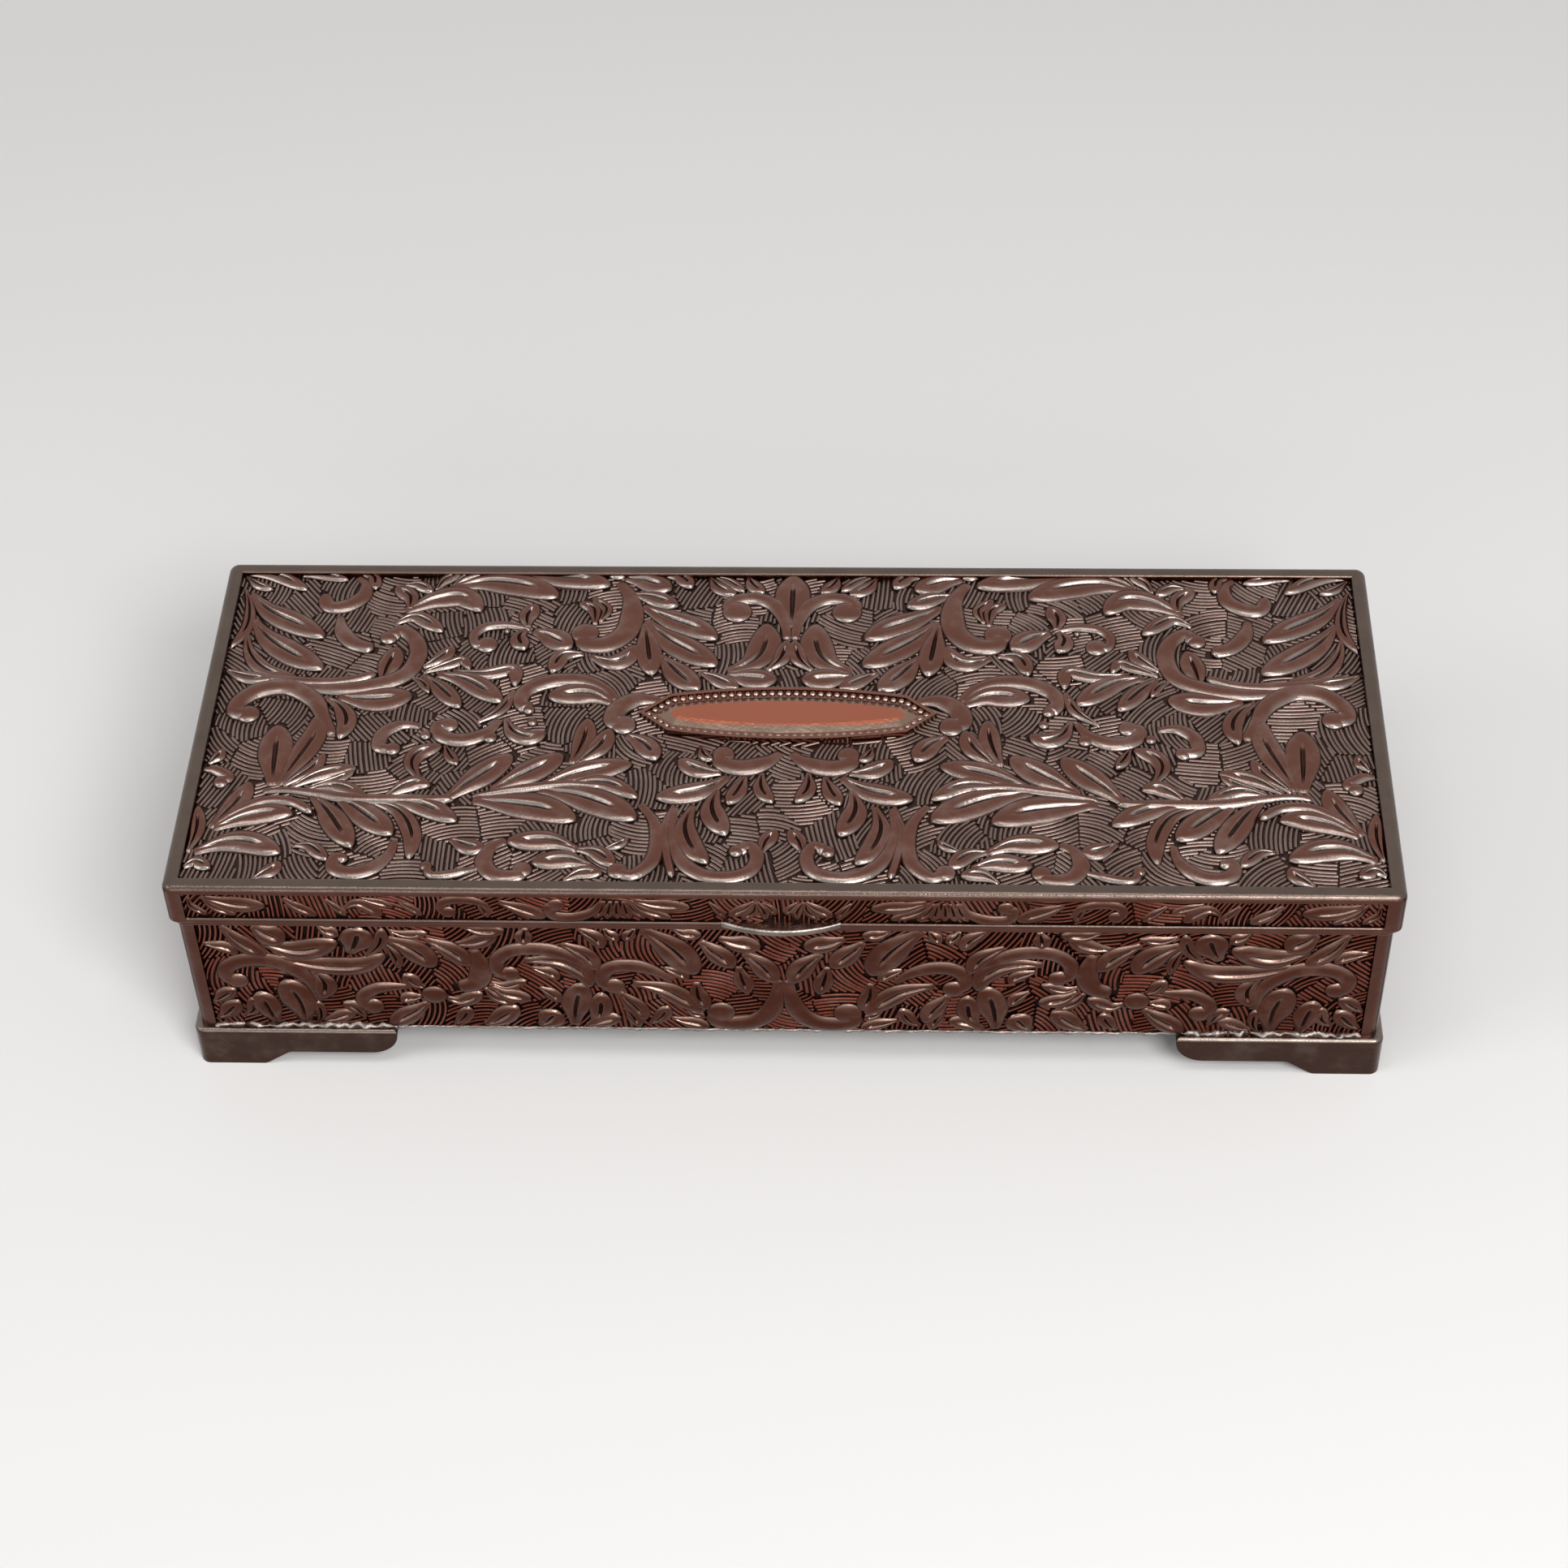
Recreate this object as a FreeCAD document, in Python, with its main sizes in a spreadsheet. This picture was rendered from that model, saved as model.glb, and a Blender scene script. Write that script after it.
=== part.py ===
import FreeCAD, Part

import math
import os
import types

import Sketcher

# A long, low box of cast metal on four bracket feet, with a hinged lid.
# The frame stands at the middle of the footprint, on the surface that the feet rest on.
# X runs along the box, Y from the front to the back, and Z up. Lengths are in millimetres.

LENGTHS = {
    # the whole box
    "box_length": 228.6,
    "box_width": 88.9,
    "box_height": 50.8,
    "lid_height": 9.6,
    "corner_round": 2.0,
    "cut_overrun": 1.0,
    # the cast body
    "lid_overhang": 1.2,
    "body_wall": 2.4,
    "body_floor": 1.8,
    "body_post": 3.2,
    "body_carving_depth": 0.8,
    "body_bead_height": 1.2,
    "body_bead_proud": 0.8,
    "bead_round": 0.4,
    # the cast lid
    "lid_wall": 2.6,
    "lid_plate": 1.6,
    "lid_post": 3.6,
    "lid_carving_depth": 0.8,
    "lid_bead_height": 1.2,
    "rim_width": 3.0,
    "rim_side_height": 1.6,
    "rim_round": 1.4,
    "rim_inner_round": 0.5,
    "top_carving_depth": 1.4,
    # the thumb lip
    "lip_length": 22.0,
    "lip_proud": 2.15,
    "lip_thickness": 1.4,
    "lip_round": 0.4,
    # the name plate
    "plate_half_length": 28.7,
    "plate_shoulder": 23.0,
    "plate_shoulder_half_width": 4.9,
    "plate_half_width": 7.0,
    "plate_back_shift": 2.3,
    "plate_thickness": 1.4,
    "plate_rim": 0.7,
    "plate_channel": 1.5,
    "plate_channel_depth": 0.7,
    "plate_bevel": 1.8,
    # the carved panels let into the lid's top and the body's walls
    "panel_thickness": 0.4,
    "panel_clearance": 0.1,
    "top_leaf_width": 7.0,
    "top_leaf_height": 1.1,
    "top_scroll_width": 4.8,
    "top_scroll_height": 1.2,
    "wall_leaf_width": 6.5,
    "wall_leaf_height": 0.9,
    "wall_scroll_width": 4.6,
    "wall_scroll_height": 1.0,
    "carved_ball_radius": 2.8,
    "carving_draft": 0.3,
    # the feet
    "foot_height": 9.8,
    "foot_arm_length": 39.5,
    "foot_side_arm_length": 28.0,
    "foot_pad_length": 13.0,
    "foot_step_run": 5.0,
    "foot_step_round": 2.0,
    "foot_arm_clearance": 3.6,
    "foot_thickness": 6.0,
    "foot_tip": 0.8,
    "foot_edge_round": 0.9,
    # the hinges
    "hinge_length": 26.0,
    "hinge_spacing": 130.0,
    "hinge_axis_out": 0.4,
    "knuckle_radius": 1.3,
    "knuckle_length": 8.6,
    "knuckle_gap": 0.2,
    "pin_radius": 0.6,
    "pin_clearance": 0.05,
    "pin_end": 0.5,
    "leaf_thickness": 0.8,
    "leaf_height": 6.0,
    "leaf_clearance": 0.3,
    "heel_proud": 0.45,
    "hinge_pad_edge": 1.5,
    "hinge_pad_height": 9.0,
    "rivet_radius": 0.8,
    "rivet_head_radius": 1.4,
    "rivet_head_top_radius": 0.8,
    "rivet_head_height": 0.4,
    "rivet_spacing": 16.0,
    "rivet_drop": 4.1,
    "rivet_clearance": 0.05,
    # the linings
    "lining_thickness": 1.4,
    "lining_below_seam": 0.8,
    "lining_gap": 0.3,
    "card_thickness": 1.0,
    "floor_pad_thickness": 2.6,
    "lid_pad_thickness": 2.2,
    "pad_round": 0.8,
    "felt_thickness": 0.8,
    "felt_margin": 1.2,
}

SAME_PLACE = 1e-4
SHARP_JOIN = 2
QUARTER_TURN = math.pi / 2
CORNER_SIGNS = ((-1, 1), (1, 1), (1, -1), (-1, -1))
RIVET_SHARES = (-0.5, 0.5)
UP = FreeCAD.Vector(0, 0, 1)

# The main leaves of the lid's left half, each as its width and its places from root to tip.
# Widths are shares of the widest leaf's, and places are shares of half the carved field.
TOP_LEAF_SHARES = (
    (0.50, (-0.99, 0.98), (-0.935, 0.96), (-0.877, 0.90)),
    (0.89, (-0.981, 0.88), (-0.939, 0.75), (-0.88, 0.65), (-0.829, 0.565)),
    (0.95, (-0.969, 0.70), (-0.93, 0.555), (-0.88, 0.45), (-0.821, 0.347)),
    (0.58, (-0.974, 0.60), (-0.958, 0.45), (-0.922, 0.34), (-0.863, 0.285)),
    (0.54, (-0.995, 0.35), (-0.961, 0.30), (-0.907, 0.27)),
    (0.62, (-0.812, 0.17), (-0.781, 0.10), (-0.766, 0.0), (-0.775, -0.12)),
    (1.00, (-0.791, 0.17), (-0.728, 0.15), (-0.656, 0.18)),
    (0.74, (-0.717, 0.26), (-0.708, 0.38), (-0.695, 0.50)),
    (0.52, (-0.649, 0.37), (-0.622, 0.42), (-0.595, 0.51)),
    (0.66, (-0.645, 0.32), (-0.609, 0.22), (-0.571, 0.10)),
    (0.81, (-0.622, 0.33), (-0.562, 0.27), (-0.498, 0.135)),
    (0.56, (-0.597, 0.35), (-0.539, 0.32), (-0.487, 0.33)),
    (0.58, (-0.686, 0.76), (-0.69, 0.85), (-0.721, 0.92)),
    (0.91, (-0.697, 0.75), (-0.642, 0.83), (-0.593, 0.85), (-0.555, 0.75)),
    (0.58, (-0.712, 0.67), (-0.672, 0.70), (-0.62, 0.61)),
    (1.09, (-0.62, 0.92), (-0.557, 0.965), (-0.485, 0.94), (-0.419, 0.86)),
    (0.95, (-0.503, 1.0), (-0.436, 0.99), (-0.377, 0.98), (-0.327, 0.94)),
    (0.89, (-0.461, 0.63), (-0.426, 0.58), (-0.386, 0.50)),
    (0.58, (-0.363, 0.47), (-0.403, 0.44), (-0.419, 0.33)),
    (0.70, (-0.356, 0.46), (-0.318, 0.405), (-0.29, 0.43), (-0.272, 0.53)),
    (0.89, (-0.307, 1.0), (-0.262, 0.97), (-0.217, 0.91)),
    (0.68, (-0.289, 0.88), (-0.244, 0.84), (-0.203, 0.79)),
    (0.91, (-0.271, 0.80), (-0.217, 0.71), (-0.171, 0.65), (-0.128, 0.57)),
    (0.99, (-0.262, 0.70), (-0.22, 0.57), (-0.175, 0.48), (-0.126, 0.39)),
    (0.81, (-0.262, 0.685), (-0.252, 0.495), (-0.242, 0.32)),
    (0.87, (-0.232, 0.46), (-0.193, 0.325), (-0.155, 0.22)),
    (0.58, (-0.158, 0.35), (-0.122, 0.29), (-0.086, 0.23)),
    (0.99, (-0.111, 0.35), (-0.065, 0.42), (-0.046, 0.53), (-0.043, 0.685)),
    (0.58, (-0.041, 0.36), (-0.016, 0.43), (-0.005, 0.56)),
    (0.87, (-0.113, 0.32), (-0.067, 0.305), (-0.02, 0.30)),
    (0.52, (-0.153, 1.0), (-0.135, 0.93), (-0.101, 0.87)),
    (0.52, (-0.084, 1.0), (-0.074, 0.95), (-0.05, 0.88)),
    (0.60, (-0.47, 0.64), (-0.473, 0.72), (-0.457, 0.80)),
    (0.60, (-0.473, 0.64), (-0.483, 0.565), (-0.471, 0.485)),
    (0.91, (-0.302, 0.135), (-0.354, 0.20), (-0.422, 0.175)),
    (0.64, (-0.491, 0.04), (-0.474, -0.06), (-0.445, -0.10), (-0.414, -0.06)),
    (1.03, (-0.874, -0.42), (-0.88, -0.22), (-0.883, -0.02)),
    (0.80, (-0.866, -0.415), (-0.835, -0.22), (-0.817, -0.07), (-0.82, 0.05)),
    (0.56, (-0.845, -0.425), (-0.791, -0.33), (-0.733, -0.295)),
    (0.52, (-0.819, -0.44), (-0.764, -0.41), (-0.708, -0.48)),
    (0.83, (-0.805, -0.46), (-0.767, -0.59), (-0.72, -0.80)),
    (0.91, (-0.765, -0.46), (-0.712, -0.58), (-0.654, -0.71)),
    (0.60, (-0.712, -0.49), (-0.651, -0.57), (-0.623, -0.71), (-0.623, -0.87)),
    (0.80, (-0.694, -0.49), (-0.62, -0.52), (-0.548, -0.63)),
    (0.60, (-0.679, -0.48), (-0.634, -0.39), (-0.602, -0.41)),
    (0.60, (-0.624, -0.37), (-0.641, -0.28), (-0.632, -0.20), (-0.591, -0.15)),
    (0.91, (-0.577, -0.49), (-0.527, -0.36), (-0.468, -0.20)),
    (0.80, (-0.963, -0.685), (-0.909, -0.61), (-0.864, -0.58), (-0.827, -0.59)),
    (0.72, (-0.969, -0.68), (-0.933, -0.54), (-0.911, -0.39)),
    (0.87, (-0.988, -0.83), (-0.94, -0.77), (-0.894, -0.77), (-0.836, -0.83)),
    (0.64, (-0.559, -0.73), (-0.529, -0.78), (-0.495, -0.80)),
    (0.80, (-0.34, -0.80), (-0.39, -0.74), (-0.464, -0.75)),
    (0.72, (-0.313, -0.89), (-0.364, -0.86), (-0.418, -0.88)),
    (0.60, (-0.346, -0.79), (-0.307, -0.815), (-0.277, -0.90)),
    (0.91, (-0.501, -0.43), (-0.437, -0.31), (-0.38, -0.20)),
    (0.87, (-0.424, -0.41), (-0.341, -0.31), (-0.261, -0.255)),
    (0.64, (-0.388, -0.405), (-0.305, -0.385), (-0.246, -0.48)),
    (1.07, (-0.424, -0.415), (-0.35, -0.46), (-0.296, -0.53), (-0.245, -0.61)),
    (1.07, (-0.532, -0.49), (-0.458, -0.52), (-0.404, -0.545), (-0.347, -0.615)),
    (0.68, (-0.368, -0.265), (-0.35, -0.12), (-0.345, 0.04)),
    (0.68, (-0.359, -0.26), (-0.323, -0.16), (-0.304, -0.03)),
    (0.76, (-0.279, -0.07), (-0.243, -0.14), (-0.221, -0.24)),
    (0.68, (-0.106, -0.31), (-0.144, -0.30), (-0.186, -0.23)),
    (0.80, (-0.093, -0.33), (-0.138, -0.42), (-0.22, -0.475)),
    (0.56, (-0.066, -0.32), (-0.077, -0.415), (-0.096, -0.51)),
    (0.76, (-0.115, -0.41), (-0.12, -0.555), (-0.094, -0.71)),
    (0.76, (-0.153, -0.51), (-0.164, -0.65), (-0.152, -0.77), (-0.121, -0.875)),
    (0.43, (-0.992, 0.92), (-0.976, 0.76), (-0.978, 0.62), (-0.992, 0.49)),
    (0.45, (-0.894, 1.0), (-0.845, 0.99), (-0.805, 0.97)),
    (0.47, (-0.704, 0.94), (-0.676, 0.93), (-0.649, 0.88)),
    (0.43, (-0.645, 0.90), (-0.629, 0.97), (-0.60, 1.0)),
    (0.60, (-0.235, 1.0), (-0.203, 0.98), (-0.181, 0.92)),
    (0.45, (-0.35, 0.66), (-0.356, 0.77), (-0.385, 0.81)),
    (0.43, (-0.541, 0.0), (-0.505, 0.07), (-0.483, 0.19)),
    (0.49, (-0.857, -0.415), (-0.814, -0.31), (-0.792, -0.21)),
    (0.52, (-0.04, -0.30), (-0.04, -0.41), (-0.019, -0.50)),
    (0.49, (-0.996, -0.83), (-0.987, -0.70), (-0.99, -0.54)),
    (0.49, (-0.82, -0.78), (-0.79, -0.79), (-0.757, -0.87)),
    (0.52, (-0.361, -0.98), (-0.329, -0.93), (-0.295, -0.94)),
    (0.52, (-0.035, -0.81), (-0.026, -0.73), (-0.012, -0.67)),
)
TOP_MIDDLE_LEAF_SHARES = (1.09, (0.0, 0.64), (0.0, 0.84), (0.0, 1.0))

# Its main scrolls, each as its width, the radius of the ball that it ends in, and its places.
TOP_SCROLL_SHARES = (
    (0.80, 0.60, (-0.785, 1.0), (-0.772, 0.90), (-0.80, 0.79), (-0.838, 0.80)),
    (0.86, 0.70, (-0.898, 0.26), (-0.80, 0.22), (-0.717, 0.26), (-0.667, 0.37), (-0.666, 0.53), (-0.70, 0.60)),
    (0.95, 0.86, (-0.785, -0.09), (-0.83, 0.145), (-0.875, 0.23), (-0.925, 0.21), (-0.955, 0.10)),
    (0.80, 0.50, (-0.81, 0.72), (-0.795, 0.58), (-0.739, 0.49)),
    (1.06, 1.04, (-0.314, 0.97), (-0.288, 0.85), (-0.288, 0.67), (-0.315, 0.55), (-0.359, 0.56)),
    (0.78, 1.11, (-0.006, 0.57), (-0.014, 0.71), (-0.04, 0.83), (-0.09, 0.84), (-0.103, 0.78)),
    (0.56, 0.82, (-0.464, 0.64), (-0.513, 0.66), (-0.558, 0.62), (-0.548, 0.53)),
    (0.83, 0.60, (-0.298, 0.145), (-0.32, 0.23), (-0.385, 0.29), (-0.45, 0.23), (-0.463, 0.12)),
    (0.95, 0.93, (-0.221, 0.16), (-0.268, 0.16), (-0.30, 0.08), (-0.287, 0.0)),
    (0.70, 0.61, (-0.634, -0.02), (-0.67, -0.02), (-0.702, -0.10), (-0.682, -0.17)),
    (0.78, 0.72, (-0.498, 0.03), (-0.525, -0.08), (-0.57, -0.11), (-0.60, -0.05)),
    (0.60, 0.36, (-0.893, -0.45), (-0.795, -0.46), (-0.70, -0.50), (-0.557, -0.50)),
    (0.75, 0.60, (-0.65, -0.74), (-0.662, -0.87), (-0.705, -0.945), (-0.742, -0.89)),
    (0.78, 0.72, (-0.46, -0.74), (-0.49, -0.80), (-0.488, -0.92), (-0.44, -0.94)),
    (0.72, 0.75, (-0.244, -0.50), (-0.215, -0.63), (-0.209, -0.78), (-0.228, -0.92), (-0.262, -0.93)),
    (0.95, 0.82, (-0.008, -0.17), (-0.045, -0.27), (-0.095, -0.27), (-0.107, -0.20)),
    (0.72, 0.60, (-0.183, -0.52), (-0.187, -0.72), (-0.155, -0.90), (-0.09, -0.96), (-0.045, -0.88), (-0.06, -0.78)),
)

# The same for the left half of the front wall, and the button in the middle of its flower.
WALL_LEAF_SHARES = (
    (0.63, (-0.957, 0.92), (-0.924, 0.58), (-0.885, 0.32)),
    (0.92, (-0.902, 0.94), (-0.879, 0.77), (-0.849, 0.63)),
    (0.86, (-0.897, 0.60), (-0.828, 0.46), (-0.758, 0.64)),
    (0.77, (-0.884, 0.32), (-0.80, 0.18), (-0.728, 0.18), (-0.678, 0.42)),
    (0.96, (-0.742, 0.39), (-0.727, 0.67), (-0.718, 0.92)),
    (0.86, (-0.677, 0.70), (-0.632, 0.49), (-0.597, 0.16)),
    (0.69, (-0.61, 0.70), (-0.57, 0.50), (-0.535, 0.19)),
    (0.61, (-0.56, 0.59), (-0.518, 0.66), (-0.483, 0.79)),
    (0.52, (-0.62, -0.25), (-0.637, -0.15), (-0.655, 0.04)),
    (0.71, (-0.618, -0.53), (-0.651, -0.735), (-0.693, -0.95)),
    (0.56, (-0.588, -0.44), (-0.559, -0.49), (-0.521, -0.32)),
    (0.54, (-0.995, -0.56), (-0.978, -0.43), (-0.951, -0.28)),
    (0.63, (-0.995, -0.88), (-0.975, -0.75), (-0.95, -0.51)),
    (0.82, (-0.891, -0.97), (-0.90, -0.69), (-0.913, -0.33)),
    (1.02, (-0.84, -0.97), (-0.844, -0.56), (-0.864, -0.09)),
    (0.52, (-0.809, -0.93), (-0.782, -0.83), (-0.748, -0.72)),
    (0.69, (-0.813, 0.09), (-0.794, -0.16), (-0.805, -0.47)),
    (0.71, (-0.447, 0.30), (-0.387, 0.30), (-0.346, 0.09), (-0.332, -0.22)),
    (0.63, (-0.379, 0.63), (-0.341, 0.44), (-0.316, 0.13)),
    (0.54, (-0.435, 0.94), (-0.439, 0.77), (-0.44, 0.62)),
    (0.56, (-0.507, -0.21), (-0.477, -0.36), (-0.437, -0.43)),
    (0.73, (-0.527, -0.97), (-0.497, -0.81), (-0.462, -0.58)),
    (0.84, (-0.429, -0.97), (-0.413, -0.85), (-0.394, -0.66)),
    (0.88, (-0.367, -0.97), (-0.363, -0.59), (-0.347, -0.11)),
    (0.67, (-0.338, -0.97), (-0.321, -0.69), (-0.316, -0.28)),
    (0.59, (-0.347, -0.97), (-0.32, -0.85), (-0.284, -0.775)),
    (0.75, (-0.263, -0.12), (-0.209, -0.22), (-0.176, -0.40), (-0.136, -0.67)),
    (0.65, (-0.286, -0.29), (-0.26, -0.56), (-0.241, -0.83)),
    (1.00, (-0.238, 0.92), (-0.187, 0.55), (-0.147, 0.06)),
    (0.73, (-0.141, 0.70), (-0.112, 0.47), (-0.082, 0.21)),
    (0.73, (-0.109, 0.755), (-0.073, 0.66), (-0.035, 0.61)),
    (0.73, (-0.068, 0.48), (-0.037, 0.26), (-0.014, -0.09)),
    (0.56, (-0.076, 0.23), (-0.07, -0.03), (-0.06, -0.30)),
    (0.61, (-0.15, -0.07), (-0.147, -0.36), (-0.132, -0.60)),
)
WALL_SCROLL_SHARES = (
    (0.92, 0.79, (-0.809, -0.55), (-0.822, -0.10), (-0.86, 0.20), (-0.925, 0.24), (-0.95, -0.05)),
    (0.75, 0.82, (-0.648, -0.23), (-0.70, -0.24), (-0.733, -0.42), (-0.717, -0.60)),
    (1.00, 0.60, (-0.529, 0.51), (-0.519, 0.15), (-0.532, -0.10), (-0.564, -0.23)),
    (0.84, 0.75, (-0.327, 0.02), (-0.355, 0.32), (-0.41, 0.52), (-0.466, 0.45), (-0.475, 0.10)),
    (0.84, 0.82, (-0.191, -0.10), (-0.23, 0.16), (-0.282, 0.20), (-0.30, -0.12)),
    (0.98, 1.04, (-0.012, -0.02), (-0.017, -0.40), (-0.04, -0.74), (-0.08, -0.87), (-0.116, -0.72)),
)
WALL_BUTTON_SHARES = (0.93, (-0.607, -0.37))

LEAF_ROOT_SHARE = 0.45
LEAF_TIP_SHARE = 0.4
SCROLL_STEM_SHARE = 0.6
DRAFT_LIMIT_SHARE = 0.4
BALL_SIDES = 8

doc = FreeCAD.newDocument("Box")
sheet = doc.addObject("Spreadsheet::Sheet", "Sizes")
for row, (alias, length) in enumerate(LENGTHS.items(), start=1):
    sheet.set(f"A{row}", str(length))
    sheet.setAlias(f"A{row}", alias)
doc.recompute()


class Size:
    """A length, with the formula that works it out from the sheet."""

    def __init__(self, value, text):
        self.value = value
        self.text = text

    def __add__(self, other):
        other = as_size(other)
        return Size(self.value + other.value, f"({self.text} + {other.text})")

    def __sub__(self, other):
        other = as_size(other)
        return Size(self.value - other.value, f"({self.text} - {other.text})")

    def __mul__(self, factor):
        factor = as_size(factor)
        return Size(self.value * factor.value, f"({self.text} * {factor.text})")

    def __truediv__(self, factor):
        factor = as_size(factor)
        return Size(self.value / factor.value, f"({self.text} / {factor.text})")

    def __neg__(self):
        return Size(-self.value, f"(0 - {self.text})")


def as_size(number):
    """Lets a plain number stand in a formula."""
    return number if isinstance(number, Size) else Size(float(number), repr(float(number)))


S = types.SimpleNamespace(**{
    alias: Size(float(sheet.get(alias)), f"Sizes.{alias}") for alias in LENGTHS
})


def bind(thing, name, size):
    """Ties one property of a thing to a formula."""
    thing.setExpression(name, as_size(size).text)


def put(thing, x, y, z, rotation=None):
    """Places a thing by formulas, turned as asked."""
    base = FreeCAD.Vector(as_size(x).value, as_size(y).value, as_size(z).value)
    thing.Placement = FreeCAD.Placement(base, rotation or FreeCAD.Rotation())
    bind(thing, ".Placement.Base.x", x)
    bind(thing, ".Placement.Base.y", y)
    bind(thing, ".Placement.Base.z", z)
    return thing


ALONG_X = FreeCAD.Rotation(FreeCAD.Vector(0, 1, 0), 90)
ALONG_Y = FreeCAD.Rotation(FreeCAD.Vector(1, 0, 0), -90)
STANDING = FreeCAD.Rotation(FreeCAD.Vector(1, 0, 0), 90)


def block(name, low, size):
    """A rectangular block from its low corner and its three sizes."""
    made = doc.addObject("Part::Box", name)
    for side, value in zip(("Length", "Width", "Height"), size):
        bind(made, side, value)
    return put(made, *low)


def rod(name, radius, length, start, rotation):
    """A round bar along the turned Z axis, from its start."""
    made = doc.addObject("Part::Cylinder", name)
    bind(made, "Radius", radius)
    bind(made, "Height", length)
    return put(made, *start, rotation)


def fused(name, *pieces):
    """One solid from several that overlap or touch."""
    made = doc.addObject("Part::MultiFuse", name)
    made.Shapes = list(pieces)
    made.Refine = True
    return made


def without(name, base, *tools):
    """A solid with other solids cut away."""
    tool = tools[0] if len(tools) == 1 else fused(name + "_tools", *tools)
    made = doc.addObject("Part::Cut", name)
    made.Base = base
    made.Tool = tool
    made.Refine = True
    return made


def group(name, *pieces):
    """Separate solids that share one node."""
    made = doc.addObject("Part::Compound", name)
    made.Links = list(pieces)
    return made


def mirrored(name, source, normal):
    """A copy on the other side of the plane through the frame's origin."""
    made = doc.addObject("Part::Mirroring", name)
    made.Source = source
    made.Normal = normal
    return made


ACROSS_X = FreeCAD.Vector(1, 0, 0)
ACROSS_Y = FreeCAD.Vector(0, 1, 0)


def new_body(name):
    """A body that holds sketches and features."""
    made = doc.addObject("PartDesign::Body", name)
    made.Label = name
    return made


def origin_plane(body, role):
    """One of the body's own planes, by its role."""
    return next(part for part in body.Origin.OriginFeatures if part.Role == role)


def sketch_on(body, role, name, right, up, out):
    """A sketch on one of the body's planes, moved right and up in it and out from it."""
    made = body.newObject("Sketcher::SketchObject", name)
    made.AttachmentSupport = [(origin_plane(body, role), "")]
    made.MapMode = "FlatFace"
    for axis, value in zip("xyz", (right, up, out)):
        bind(made, f".AttachmentOffset.Base.{axis}", value)
    return made


def hold_point(sketch, line, end, x, y):
    """Holds a line's end at a place in the sketch, which is nowhere left of or below its origin."""
    for kind, value, axis in (("DistanceX", x, -2), ("DistanceY", y, -1)):
        if as_size(value).value == 0:
            sketch.addConstraint(Sketcher.Constraint("PointOnObject", line, end, axis))
        else:
            held = sketch.addConstraint(
                Sketcher.Constraint(kind, -1, 1, line, end, as_size(value).value)
            )
            bind(sketch, f"Constraints[{held}]", value)


def closed_outline(sketch, corners):
    """A closed outline of straight lines through corners."""
    first = sketch.GeometryCount
    points = [FreeCAD.Vector(as_size(x).value, as_size(y).value, 0) for x, y in corners]
    count = len(points)
    for index in range(count):
        sketch.addGeometry(Part.LineSegment(points[index], points[(index + 1) % count]), False)
    for index in range(count):
        following = first + (index + 1) % count
        sketch.addConstraint(Sketcher.Constraint("Coincident", first + index, 2, following, 1))
    for index, (x, y) in enumerate(corners):
        hold_point(sketch, first + index, 1, x, y)


def rectangle_on(body, role, name, low, size, out):
    """A sketch of one rectangle, from its low corner and its two sizes."""
    sketch = sketch_on(body, role, name, low[0], low[1], out)
    wide, high = size
    closed_outline(sketch, [(0, 0), (wide, 0), (wide, high), (0, high)])
    return sketch


def feature(body, kind, name, sketch, depth, backwards=False):
    """A pad or a pocket of a sketch, checked for having changed the solid."""
    doc.recompute()
    before = body.Shape.Volume if body.Tip else 0
    made = body.newObject(f"PartDesign::{kind}", name)
    made.Profile = sketch
    bind(made, "Length", depth)
    made.Reversed = backwards
    doc.recompute()
    grown = body.Shape.Volume - before
    if (kind == "Pad" and grown <= 0) or (kind == "Pocket" and grown >= 0):
        raise ValueError(f"{name} changed nothing")
    return made


def both_sides(body, name, role, *features):
    """Repeats features on the other side of one of the body's planes."""
    made = body.newObject("PartDesign::Mirrored", name)
    made.Originals = list(features)
    made.MirrorPlane = (origin_plane(body, role), [""])
    body.Tip = made
    doc.recompute()
    return made


def rounded(body, name, radius, chosen):
    """Rounds the edges of the body that the test chooses."""
    doc.recompute()
    base = body.Tip
    edges = [f"Edge{n}" for n, edge in enumerate(body.Shape.Edges, start=1) if chosen(edge.BoundBox)]
    if not edges:
        raise ValueError(f"{name} found no edge")
    made = body.newObject("PartDesign::Fillet", name)
    made.Base = (base, edges)
    bind(made, "Radius", radius)
    body.Tip = made
    doc.recompute()
    return made


def same(a, b):
    """Whether two places along an axis are the same."""
    return abs(a - as_size(b).value) < SAME_PLACE


def upright_at(x, y):
    """A test for the four upright edges at a place mirrored to all sides."""
    def chosen(box):
        flat = same(box.XMin, box.XMax) and same(box.YMin, box.YMax)
        return flat and same(abs(box.XMin), x) and same(abs(box.YMin), y)
    return chosen


def level_at(z, x, y):
    """A test for the level edges at a height that reach the outline given by half its sides."""
    def chosen(box):
        level = same(box.ZMin, z) and same(box.ZMax, z)
        on_side = same(max(abs(box.XMin), abs(box.XMax)), x)
        on_front = same(max(abs(box.YMin), abs(box.YMax)), y)
        return level and (on_side or on_front)
    return chosen


def circles_on(body, role, name, low, out, centres, radius):
    """A sketch of equal circles, at places from its low corner."""
    sketch = sketch_on(body, role, name, low[0], low[1], out)
    up = FreeCAD.Vector(0, 0, 1)
    for x, y in centres:
        middle = FreeCAD.Vector(as_size(x).value, as_size(y).value, 0)
        drawn = sketch.addGeometry(Part.Circle(middle, up, radius.value), False)
        held = sketch.addConstraint(Sketcher.Constraint("Radius", drawn, radius.value))
        bind(sketch, f"Constraints[{held}]", radius)
        hold_point(sketch, drawn, 3, x, y)
    return sketch


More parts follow.
